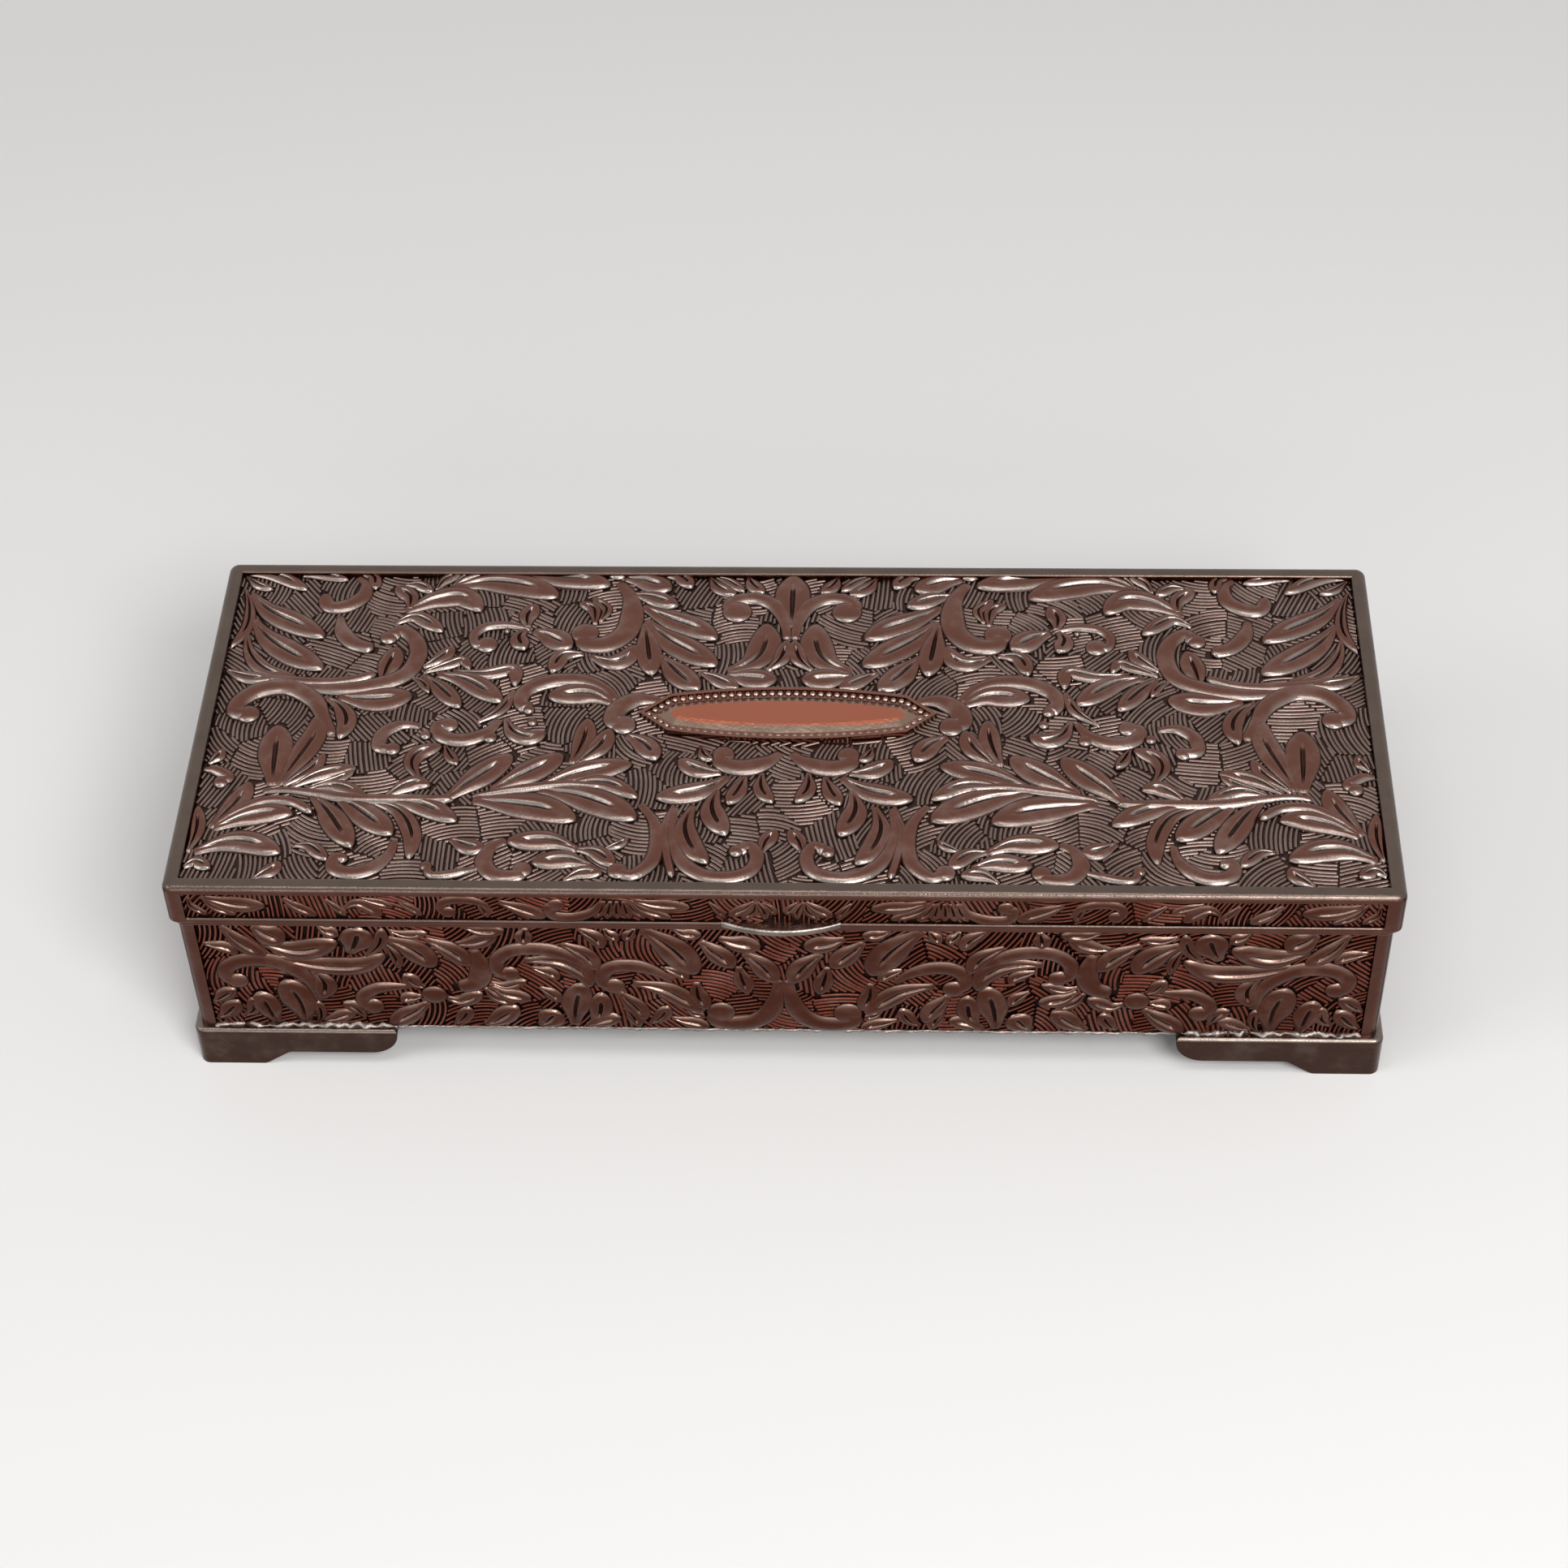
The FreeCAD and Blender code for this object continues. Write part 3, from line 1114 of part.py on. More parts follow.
# The felt under the floor, clear of the feet
def make_felt():
    felt_x = half_length - S.foot_thickness - S.felt_margin
    felt_y = half_width - S.foot_thickness - S.felt_margin
    return block(
        "underside_felt", (-(felt_x), -(felt_y), S.foot_height - S.felt_thickness),
        (felt_x * 2, felt_y * 2, S.felt_thickness),
    )


def make_feet():
    """Four feet, three of them mirror images of the first."""
    front_left = make_foot()
    front_right = mirrored("foot_front_right", front_left, ACROSS_X)
    rear_left = mirrored("foot_rear_left", front_left, ACROSS_Y)
    rear_right = mirrored("foot_rear_right", front_right, ACROSS_Y)
    return [front_left, front_right, rear_left, rear_right]


def save(nodes):
    """Checks every object and writes each node's solids."""
    doc.recompute()
    failed = [thing.Name for thing in doc.Objects if {"Invalid", "Error"} & set(thing.State)]
    if failed:
        raise ValueError(f"these failed: {failed}")
    os.makedirs("parts", exist_ok=True)
    for node in nodes:
        shape = node.Shape
        if shape.isNull() or not shape.isValid() or not shape.Solids:
            raise ValueError(f"{node.Label} is not a sound solid")
        shape.exportStep(f"parts/{node.Label}.step")
        box = shape.BoundBox
        print(
            f"{node.Label}: {len(shape.Solids)} solid, {shape.Volume:.1f} mm3, "
            f"x {box.XMin:.2f}..{box.XMax:.2f} y {box.YMin:.2f}..{box.YMax:.2f} "
            f"z {box.ZMin:.2f}..{box.ZMax:.2f}"
        )


save([
    make_base_body(), *make_feet(), make_felt(), make_lid_shell(), make_thumb_lip(),
    make_name_plate(), make_lid_panel(), *make_wall_panels(), *make_hinges(), *make_linings(),
])
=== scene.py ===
"""Dresses a long, low cast box for sweets: carved lid and walls, bracket feet, cloth-lined inside."""

import logging
import math
from dataclasses import dataclass, field
from enum import Enum
from typing import Any, Iterable, Iterator, Sequence

import bmesh
import bpy
import numpy as np
from mathutils import Matrix, Vector

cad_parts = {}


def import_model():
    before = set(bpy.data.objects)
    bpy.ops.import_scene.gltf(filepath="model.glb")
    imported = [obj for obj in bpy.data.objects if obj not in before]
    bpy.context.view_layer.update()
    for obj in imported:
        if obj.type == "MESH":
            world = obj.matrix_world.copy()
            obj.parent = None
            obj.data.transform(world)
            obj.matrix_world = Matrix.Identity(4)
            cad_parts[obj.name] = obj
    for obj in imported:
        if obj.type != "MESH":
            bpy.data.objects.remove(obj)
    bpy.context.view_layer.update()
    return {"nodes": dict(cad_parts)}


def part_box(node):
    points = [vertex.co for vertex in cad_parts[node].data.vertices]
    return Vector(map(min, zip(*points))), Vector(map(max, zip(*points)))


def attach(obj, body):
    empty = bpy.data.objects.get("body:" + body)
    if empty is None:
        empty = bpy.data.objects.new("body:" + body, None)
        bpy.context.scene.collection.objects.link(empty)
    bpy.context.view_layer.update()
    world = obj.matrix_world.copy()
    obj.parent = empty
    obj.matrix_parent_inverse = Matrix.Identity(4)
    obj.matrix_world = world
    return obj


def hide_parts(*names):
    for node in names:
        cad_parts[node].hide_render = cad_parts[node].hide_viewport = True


LOG = logging.getLogger("box")
MM = 0.001
RAISED = "raised"
Point = tuple[float, float]
Colour = tuple[float, float, float]
Row = tuple[Any, ...]
Knob = tuple[float, Point]


class Body(Enum):
    """The two bodies that pieces ride on."""

    BASE = "base"
    LID = "lid"


# Each leaf is its width and its spine from root to tip, each scroll its width, the radius of its
# ball and its spine from the stem to the ball, and each knob its radius and its middle. All are in
# millimetres from the middle of the panel, on its left half; the right half is their mirror image.
LID_TOP_LEAVES: tuple[Row, ...] = (
    (2.9, (-111.0, 42.2), (-104.0, 41.2), (-97.6, 37.2)),
    (1.9, (-111.0, 41.4), (-108.0, 38.6), (-104.6, 37.2)),
    (2.1, (-99.5, 41.6), (-94.0, 41.3), (-89.6, 40.2)),
    (2.4, (-88.0, 42.2), (-84.8, 41.2), (-84.0, 37.4)),
    (4.6, (-109.2, 36.5), (-104.5, 31.0), (-98.0, 27.0), (-92.3, 23.4)),
    (4.9, (-107.8, 29.0), (-103.5, 23.0), (-98.0, 18.6), (-91.4, 14.4)),
    (3.0, (-108.4, 25.0), (-106.6, 18.6), (-102.6, 14.0), (-96.0, 11.8)),
    (2.2, (-110.4, 38.0), (-108.6, 31.5), (-108.5, 26.0), (-111.0, 20.2)),
    (2.8, (-111.2, 14.4), (-107.0, 12.3), (-101.0, 11.3)),
    (3.2, (-90.4, 7.0), (-86.9, 4.0), (-85.2, 0.0), (-86.2, -4.8)),
    (5.2, (-88.0, 7.2), (-81.0, 6.2), (-73.0, 7.4)),
    (3.8, (-79.8, 10.8), (-78.8, 15.6), (-77.4, 20.8)),
    (2.7, (-72.2, 15.2), (-69.2, 17.4), (-66.2, 21.0)),
    (2.3, (-72.0, 13.8), (-67.5, 15.8), (-64.3, 17.2), (-62.7, 14.4)),
    (3.4, (-71.8, 13.2), (-67.8, 9.2), (-63.5, 4.0)),
    (4.2, (-69.2, 13.6), (-62.5, 11.2), (-55.4, 5.6)),
    (2.9, (-66.5, 14.4), (-60.0, 13.4), (-54.2, 14.6), (-53.4, 9.8)),
    (1.7, (-74.2, 12.6), (-71.6, 10.8), (-70.1, 8.0)),
    (3.0, (-76.4, 31.5), (-76.8, 35.4), (-80.2, 38.0)),
    (2.4, (-78.4, 38.9), (-75.2, 38.7), (-72.2, 36.6)),
    (4.7, (-77.6, 31.0), (-71.5, 34.6), (-66.0, 35.4), (-61.8, 31.2)),
    (3.0, (-79.2, 27.8), (-74.8, 29.5), (-69.0, 25.3)),
    (2.2, (-71.8, 37.2), (-70.0, 40.4), (-66.8, 42.4)),
    (2.0, (-68.6, 38.6), (-65.8, 41.4), (-62.0, 42.4)),
    (5.6, (-69.0, 38.0), (-62.0, 40.0), (-54.0, 39.0), (-46.6, 35.6)),
    (4.9, (-56.0, 42.0), (-48.5, 41.4), (-42.0, 40.7), (-36.4, 38.9)),
    (2.3, (-39.0, 27.5), (-39.6, 32.0), (-42.8, 33.7)),
    (2.1, (-38.2, 28.4), (-37.0, 32.0), (-40.2, 35.3)),
    (4.6, (-51.3, 26.0), (-47.4, 24.0), (-43.0, 20.9)),
    (3.0, (-40.4, 19.4), (-44.9, 18.4), (-46.6, 13.6)),
    (3.6, (-39.6, 18.9), (-35.4, 16.8), (-32.3, 18.0), (-30.3, 21.8)),
    (4.6, (-34.2, 41.4), (-29.2, 40.3), (-24.2, 37.8)),
    (3.5, (-32.2, 36.6), (-27.2, 35.0), (-22.6, 32.9)),
    (4.7, (-30.2, 33.2), (-24.2, 29.3), (-19.0, 26.8), (-14.3, 23.5)),
    (5.1, (-29.2, 29.2), (-24.5, 23.8), (-19.5, 20.0), (-14.0, 16.0)),
    (4.2, (-29.2, 28.4), (-28.0, 20.5), (-26.9, 13.2)),
    (4.5, (-25.8, 19.2), (-21.5, 13.5), (-17.2, 9.2)),
    (3.0, (-17.6, 14.4), (-13.6, 12.0), (-9.6, 9.6)),
    (5.1, (-12.4, 14.4), (-7.2, 17.4), (-5.1, 22.0), (-4.8, 28.4)),
    (3.0, (-4.6, 14.8), (-1.8, 18.0), (-0.6, 23.2)),
    (4.5, (-12.6, 13.4), (-7.5, 12.6), (-2.2, 12.3)),
    (2.7, (-17.0, 42.0), (-15.0, 38.6), (-11.2, 36.2)),
    (2.2, (-15.8, 42.0), (-12.6, 40.0), (-9.6, 37.2)),
    (2.7, (-9.3, 42.2), (-8.2, 39.4), (-5.6, 36.6)),
    (3.1, (-26.2, 42.2), (-22.6, 41.5), (-20.2, 38.2)),
    (1.9, (-38.2, 42.4), (-35.6, 42.0), (-33.4, 42.3)),
    (3.1, (-52.3, 26.4), (-52.6, 29.8), (-50.9, 33.2)),
    (3.1, (-52.6, 26.4), (-53.8, 23.4), (-52.4, 20.1)),
    (4.7, (-33.6, 5.6), (-39.4, 8.2), (-47.0, 7.2)),
    (2.1, (-60.2, 0.0), (-56.2, 3.0), (-54.2, 6.4), (-53.4, 9.4)),
    (3.3, (-54.6, 1.6), (-52.8, -2.4), (-49.5, -4.0), (-46.1, -2.6)),
    (5.3, (-97.3, -17.4), (-97.9, -9.0), (-98.3, -0.7)),
    (4.1, (-96.4, -17.2), (-92.9, -9.0), (-90.9, -3.0), (-91.3, 1.9)),
    (2.5, (-95.4, -17.2), (-90.6, -13.0), (-88.1, -8.6)),
    (2.9, (-94.0, -17.6), (-88.0, -13.8), (-81.6, -12.2)),
    (1.9, (-90.5, -17.4), (-85.5, -15.5), (-81.9, -12.9)),
    (2.7, (-91.2, -18.2), (-85.0, -17.0), (-78.8, -19.9)),
    (4.3, (-89.6, -19.0), (-85.4, -24.5), (-80.2, -33.0)),
    (4.7, (-85.2, -19.2), (-79.2, -24.0), (-72.8, -29.6)),
    (3.1, (-79.2, -20.4), (-72.5, -23.5), (-69.3, -29.5), (-69.3, -36.0)),
    (4.1, (-77.2, -20.4), (-69.0, -21.6), (-61.0, -26.1)),
    (3.1, (-75.6, -19.8), (-70.6, -16.3), (-67.0, -16.9)),
    (3.1, (-69.4, -15.2), (-71.3, -11.5), (-70.3, -8.3), (-65.8, -6.2)),
    (2.1, (-65.6, -5.8), (-64.5, -8.4), (-62.6, -11.4)),
    (4.7, (-64.2, -20.4), (-58.6, -14.8), (-52.1, -8.4)),
    (4.1, (-107.2, -28.4), (-101.2, -25.3), (-96.2, -24.0), (-92.1, -24.4)),
    (3.7, (-107.8, -28.2), (-103.8, -22.2), (-101.4, -16.1)),
    (4.5, (-110.0, -34.4), (-104.6, -32.0), (-99.5, -31.8), (-93.1, -34.4)),
    (2.5, (-110.9, -34.6), (-109.9, -29.0), (-110.6, -22.3)),
    (2.5, (-111.2, -38.2), (-108.9, -36.8), (-105.8, -38.5)),
    (2.7, (-97.8, -41.0), (-94.8, -38.8), (-92.9, -36.6)),
    (2.1, (-110.4, -11.6), (-108.8, -9.6), (-107.9, -7.7)),
    (2.5, (-91.3, -32.2), (-87.9, -32.8), (-84.3, -36.2)),
    (3.3, (-62.2, -30.3), (-58.9, -32.2), (-55.1, -33.1)),
    (4.1, (-37.8, -33.0), (-43.4, -30.8), (-51.6, -31.1)),
    (3.7, (-34.8, -36.9), (-40.5, -35.5), (-46.5, -36.6)),
    (3.1, (-38.5, -32.7), (-34.2, -33.8), (-30.8, -37.2)),
    (2.7, (-40.2, -40.6), (-36.6, -38.6), (-32.8, -38.9)),
    (1.7, (-33.2, -32.9), (-30.6, -31.8), (-28.6, -30.1)),
    (4.7, (-55.8, -17.9), (-48.6, -13.0), (-42.3, -8.3)),
    (4.5, (-47.2, -16.9), (-38.0, -12.8), (-29.0, -10.6)),
    (3.3, (-43.2, -16.8), (-34.0, -16.0), (-27.4, -19.8)),
    (5.5, (-47.2, -17.2), (-39.0, -19.2), (-33.0, -21.8), (-27.3, -25.2)),
    (5.5, (-59.2, -20.2), (-51.0, -21.5), (-45.0, -22.6), (-38.6, -25.5)),
    (3.5, (-41.0, -11.0), (-39.0, -5.0), (-38.4, 1.5)),
    (3.5, (-40.0, -10.8), (-35.9, -6.5), (-33.8, -1.4)),
    (3.9, (-31.0, -2.8), (-27.0, -5.8), (-24.6, -9.8)),
    (3.5, (-11.8, -12.8), (-16.0, -12.4), (-20.7, -9.6)),
    (2.0, (-16.6, -5.9), (-15.6, -8.4), (-13.8, -9.9)),
    (4.1, (-10.4, -13.6), (-15.4, -17.4), (-24.5, -19.7)),
    (2.9, (-7.4, -13.4), (-8.6, -17.2), (-10.7, -21.3)),
    (2.7, (-4.4, -12.4), (-4.4, -17.0), (-2.1, -20.8)),
    (3.9, (-12.8, -17.0), (-13.4, -23.0), (-10.5, -29.3)),
    (3.9, (-17.0, -21.0), (-18.3, -27.0), (-16.9, -32.0), (-13.5, -36.3)),
    (2.7, (-3.9, -33.6), (-2.9, -30.4), (-1.1, -27.6)),
)
LID_TOP_SCROLLS: tuple[Row, ...] = (
    (2.8, 0.0, (-88.0, 42.0), (-86.2, 39.0), (-86.4, 35.3), (-89.2, 32.8), (-92.6, 32.4), (-94.2, 35.9)),
    (3.0, 1.9, (-100.0, 10.6), (-93.0, 9.3), (-86.5, 9.0), (-79.8, 10.6), (-75.2, 13.4), (-73.4, 18.4),
     (-74.4, 23.0), (-77.4, 25.4), (-79.7, 23.4)),
    (2.0, 0.0, (-108.0, 13.2), (-100.0, 11.6), (-92.0, 10.8), (-86.0, 11.4), (-80.6, 13.4)),
    (3.3, 2.4, (-87.4, -3.6), (-90.0, 1.6), (-92.4, 6.0), (-97.4, 9.4), (-103.0, 8.8), (-106.8, 5.6),
     (-107.2, 2.6), (-104.6, 1.9)),
    (2.8, 0.0, (-90.2, 30.0), (-89.2, 25.4), (-86.4, 21.8), (-82.2, 20.2)),
    (3.7, 2.9, (-35.0, 40.4), (-32.4, 35.6), (-31.8, 30.2), (-32.8, 25.4), (-36.2, 22.2), (-40.2, 22.0),
     (-40.8, 25.0)),
    (2.7, 3.1, (-0.7, 23.6), (-1.3, 28.6), (-3.2, 33.0), (-6.6, 35.2), (-10.4, 35.0), (-12.6, 33.2),
     (-10.9, 31.4)),
    (1.8, 2.3, (-51.6, 26.4), (-56.0, 27.2), (-60.4, 26.8), (-62.8, 24.4), (-62.0, 21.4), (-60.0, 21.6)),
    (2.9, 1.3, (-33.2, 6.0), (-35.6, 9.4), (-40.4, 11.7), (-46.0, 11.6), (-50.8, 9.2), (-52.0, 6.0),
     (-50.2, 3.5)),
    (3.3, 2.6, (-24.6, 6.6), (-29.4, 6.6), (-32.8, 4.2), (-33.6, 0.8), (-31.5, -0.4)),
    (2.4, 1.7, (-70.6, -0.8), (-74.6, -0.7), (-77.8, -3.0), (-78.2, -6.6), (-75.5, -7.3)),
    (2.7, 2.0, (-55.4, 1.2), (-58.0, -2.8), (-62.0, -4.7), (-66.0, -3.9), (-67.5, -1.2), (-65.3, -0.7)),
    (1.9, 0.0, (-107.8, -27.6), (-103.0, -23.8), (-98.5, -21.2), (-93.0, -21.3), (-88.6, -24.2)),
    (2.0, 0.0, (-99.4, -18.6), (-94.5, -18.2), (-88.5, -19.2), (-82.0, -20.4), (-74.0, -20.6),
     (-62.0, -20.6)),
    (2.0, 1.6, (-111.6, -12.8), (-108.4, -13.3), (-105.9, -15.0), (-107.2, -16.4)),
    (2.6, 0.0, (-72.4, -30.6), (-73.0, -34.2), (-75.4, -37.6), (-79.0, -39.2), (-82.6, -38.3),
     (-83.0, -35.6), (-80.4, -35.9)),
    (1.7, 1.3, (-55.4, -37.4), (-60.0, -39.2), (-64.4, -39.8), (-65.8, -37.6)),
    (2.7, 2.0, (-51.2, -30.6), (-54.2, -32.6), (-55.2, -36.2), (-53.0, -39.4), (-48.8, -39.6),
     (-47.9, -38.2)),
    (2.5, 2.1, (-27.2, -20.8), (-24.3, -25.4), (-23.2, -30.6), (-24.2, -36.0), (-27.6, -39.4),
     (-30.2, -38.3)),
    (3.3, 2.3, (-0.9, -7.2), (-4.0, -10.2), (-8.3, -11.5), (-12.0, -10.4), (-11.9, -8.2)),
    (2.5, 1.5, (-20.4, -21.4), (-20.8, -29.0), (-18.9, -35.0), (-15.0, -38.8), (-10.0, -39.6),
     (-5.9, -38.0), (-4.6, -34.4), (-6.0, -31.8), (-8.5, -33.2)),
    (1.7, 0.0, (-59.5, -19.4), (-50.0, -17.6), (-42.0, -16.4), (-34.0, -17.0)),
    (1.6, 0.0, (-20.6, -20.6), (-22.2, -28.0), (-21.4, -34.0), (-20.0, -40.0)),
)
LID_TOP_KNOBS: tuple[Knob, ...] = (
    (0.7, (-56.3, 25.3)), (1.1, (-49.2, 0.1)), (1.2, (-69.5, -3.6)), (1.5, (-57.0, -4.0)),
)
LID_TOP_CENTRE_LEAF: Row = (5.6, (0.0, 26.5), (0.0, 35.0), (0.0, 42.6))

FRONT_LEAVES: tuple[Row, ...] = (
    (3.0, (-105.2, 38.8), (-101.6, 33.6), (-97.3, 29.8)),
    (4.4, (-99.2, 38.8), (-96.6, 36.5), (-93.3, 34.4)),
    (4.1, (-98.6, 33.9), (-91.0, 31.9), (-83.3, 34.5)),
    (3.7, (-97.2, 29.8), (-88.0, 27.6), (-80.0, 27.6), (-74.6, 31.2)),
    (4.6, (-81.6, 30.8), (-79.9, 35.0), (-79.0, 38.8)),
    (2.1, (-78.8, 30.0), (-75.7, 34.0), (-74.7, 38.6)),
    (1.9, (-73.8, 37.7), (-70.0, 36.6), (-66.1, 37.2)),
    (4.1, (-74.4, 35.4), (-69.5, 32.3), (-65.6, 27.3)),
    (1.7, (-75.0, 34.4), (-73.2, 31.0), (-72.4, 26.8)),
    (3.3, (-67.1, 35.4), (-62.7, 32.5), (-58.8, 27.8)),
    (2.9, (-61.6, 33.8), (-57.0, 34.8), (-53.1, 36.9)),
    (2.5, (-68.2, 21.2), (-70.0, 22.6), (-72.0, 25.5)),
    (2.5, (-69.0, 18.6), (-71.2, 18.4), (-73.5, 17.7)),
    (3.4, (-67.9, 16.9), (-71.6, 13.8), (-76.2, 10.2)),
    (2.7, (-64.6, 18.2), (-61.5, 17.5), (-57.3, 20.0)),
    (2.6, (-109.8, 16.4), (-107.5, 18.4), (-104.6, 20.7)),
    (3.0, (-109.6, 11.6), (-107.2, 13.6), (-104.5, 17.2)),
    (2.3, (-109.2, 33.5), (-105.6, 32.8), (-102.6, 30.9)),
    (3.9, (-98.0, 10.2), (-99.0, 14.5), (-100.4, 19.9)),
    (4.9, (-92.4, 10.2), (-92.8, 16.5), (-95.0, 23.5)),
    (1.7, (-90.2, 10.2), (-89.1, 13.2), (-89.4, 17.2)),
    (2.5, (-89.0, 10.8), (-86.0, 12.3), (-82.2, 14.0)),
    (3.3, (-89.4, 26.2), (-87.3, 22.5), (-88.5, 17.8)),
    (3.4, (-49.2, 29.4), (-42.5, 29.4), (-38.0, 26.3), (-36.5, 21.6)),
    (3.0, (-41.7, 34.4), (-37.5, 31.5), (-34.7, 26.8)),
    (2.6, (-47.8, 38.8), (-48.3, 36.6), (-48.4, 34.3)),
    (1.9, (-55.8, 23.0), (-52.6, 22.2), (-48.5, 23.8)),
    (2.7, (-55.7, 21.7), (-52.5, 19.4), (-48.0, 18.4)),
    (1.9, (-57.0, 21.4), (-55.0, 18.5), (-51.3, 16.6)),
    (3.5, (-57.9, 10.2), (-54.6, 12.6), (-50.8, 16.2)),
    (4.0, (-47.2, 10.2), (-45.4, 12.0), (-43.3, 14.9)),
    (4.2, (-40.4, 10.2), (-39.9, 16.0), (-38.2, 23.3)),
    (3.2, (-37.2, 10.2), (-35.3, 14.5), (-34.7, 20.6)),
    (2.8, (-38.2, 10.3), (-35.2, 12.0), (-31.2, 13.2)),
    (3.6, (-28.9, 23.1), (-23.0, 21.6), (-19.3, 18.8), (-15.0, 14.8)),
    (3.1, (-31.5, 20.5), (-28.6, 16.5), (-26.5, 12.4)),
    (4.8, (-26.2, 38.8), (-20.6, 33.2), (-16.2, 25.8)),
    (2.0, (-33.2, 38.8), (-32.2, 37.2), (-30.5, 35.6)),
    (2.0, (-27.4, 38.8), (-28.4, 37.2), (-29.6, 35.6)),
    (3.5, (-15.5, 35.5), (-12.3, 32.0), (-9.0, 28.1)),
    (3.5, (-12.0, 36.3), (-8.0, 34.8), (-3.8, 34.1)),
    (3.5, (-7.5, 32.2), (-4.1, 28.8), (-1.3, 23.6)),
    (2.7, (-8.4, 28.4), (-7.7, 24.5), (-6.6, 20.4)),
    (2.9, (-16.5, 23.8), (-16.2, 19.5), (-14.5, 15.8)),
    (1.7, (-18.7, 15.5), (-17.0, 14.3), (-15.1, 13.8)),
    (2.3, (-21.8, 12.9), (-18.0, 11.8), (-14.3, 10.5)),
    (2.6, (-38.2, 38.8), (-35.2, 36.6), (-33.4, 33.4)),
    (2.4, (-20.4, 38.8), (-17.6, 37.4), (-14.8, 37.6)),
    (2.2, (-22.6, 27.6), (-20.2, 26.6), (-17.8, 24.6)),
    (2.4, (-26.0, 11.0), (-23.6, 13.4), (-22.2, 16.6)),
    (2.2, (-30.6, 16.2), (-28.8, 13.2), (-27.8, 10.4)),
    (2.6, (-59.6, 38.8), (-55.6, 37.8), (-51.6, 38.2)),
    (2.4, (-63.6, 10.4), (-61.6, 12.8), (-60.4, 15.8)),
    (2.4, (-80.6, 12.2), (-82.0, 15.0), (-84.6, 17.0)),
    (2.4, (-86.8, 38.8), (-85.0, 37.4), (-82.8, 36.6)),
    (2.4, (-104.2, 12.2), (-102.0, 14.6), (-101.6, 18.2)),
    (2.2, (-46.6, 21.6), (-44.4, 20.0), (-42.6, 17.4)),
    (2.2, (-47.6, 27.4), (-44.8, 26.4), (-42.2, 24.4)),
)
FRONT_SCROLLS: tuple[Row, ...] = (
    (3.1, 2.2, (-88.9, 16.6), (-90.0, 22.4), (-92.8, 26.4), (-97.2, 28.8), (-102.4, 28.7),
     (-105.6, 26.4), (-105.6, 23.6), (-103.9, 23.0)),
    (2.5, 2.3, (-71.2, 21.4), (-76.4, 21.4), (-79.8, 19.4), (-80.6, 16.8), (-78.8, 15.8)),
    (3.4, 0.0, (-58.2, 32.6), (-57.1, 27.5), (-58.2, 23.2), (-62.0, 21.4)),
    (2.8, 2.1, (-36.0, 25.2), (-38.6, 29.2), (-42.6, 32.2), (-47.2, 33.0), (-51.2, 32.2), (-53.8, 29.6),
     (-53.8, 26.6), (-51.8, 25.8)),
    (2.8, 2.3, (-21.0, 23.4), (-23.6, 26.2), (-27.0, 28.0), (-31.0, 28.2), (-33.8, 26.4), (-34.2, 23.4),
     (-32.2, 22.4)),
    (3.3, 2.9, (-0.8, 24.6), (-1.5, 19.0), (-3.0, 14.8), (-6.0, 12.2), (-10.0, 11.6), (-13.2, 12.6),
     (-12.1, 15.0)),
)
FRONT_KNOBS: tuple[Knob, ...] = ((2.6, (-66.7, 19.3)),)

BAND_LEAVES: tuple[Row, ...] = (
    (1.6, (-107.4, 48.4), (-105.0, 45.0), (-101.0, 42.9)),
    (1.5, (-109.6, 48.2), (-109.2, 45.4), (-106.4, 43.0)),
    (3.4, (-107.0, 47.8), (-101.0, 46.0), (-95.2, 45.7)),
    (2.3, (-92.2, 47.9), (-89.6, 45.3), (-85.9, 42.9)),
    (1.5, (-84.2, 47.8), (-82.3, 45.3), (-80.5, 43.0)),
    (2.6, (-81.0, 44.9), (-78.0, 46.5), (-73.8, 43.0)),
    (1.8, (-77.8, 48.0), (-74.4, 46.8), (-71.5, 45.5)),
    (1.7, (-71.0, 47.6), (-68.6, 45.4), (-66.4, 43.2)),
    (1.6, (-56.2, 47.2), (-54.8, 45.0), (-54.2, 42.9)),
    (3.0, (-52.4, 47.4), (-48.0, 45.3), (-43.2, 43.0)),
    (1.8, (-32.4, 47.8), (-33.2, 45.2), (-34.6, 42.9)),
    (1.8, (-31.2, 47.8), (-31.8, 45.2), (-32.2, 42.8)),
    (1.7, (-30.1, 47.8), (-30.3, 45.2), (-30.1, 42.8)),
    (1.8, (-29.0, 47.8), (-28.5, 45.2), (-27.9, 42.8)),
    (1.8, (-28.4, 47.8), (-27.0, 45.2), (-24.9, 42.9)),
    (2.0, (-28.0, 48.2), (-25.0, 45.2), (-20.0, 43.1)),
    (2.8, (-27.4, 48.0), (-22.8, 46.7), (-16.4, 46.2)),
    (2.1, (-4.4, 48.0), (-7.0, 45.7), (-9.8, 43.8)),
    (1.7, (-4.6, 48.0), (-5.0, 45.4), (-7.4, 43.0)),
    (1.7, (-4.4, 48.0), (-3.0, 45.2), (-3.0, 43.0)),
    (1.5, (-3.4, 47.8), (-1.8, 46.0), (-0.8, 44.2)),
    (1.5, (-13.2, 47.6), (-11.4, 45.2), (-10.2, 43.2)),
)
BAND_SCROLLS: tuple[Row, ...] = (
    (1.8, 1.6, (-53.4, 44.0), (-55.2, 46.8), (-58.6, 47.8), (-62.0, 47.2), (-62.8, 45.0), (-61.6, 44.4)),
    (2.1, 1.7, (-32.6, 47.8), (-34.8, 44.8), (-38.4, 43.2), (-42.0, 43.6), (-42.8, 45.8), (-41.4, 46.6)),
)


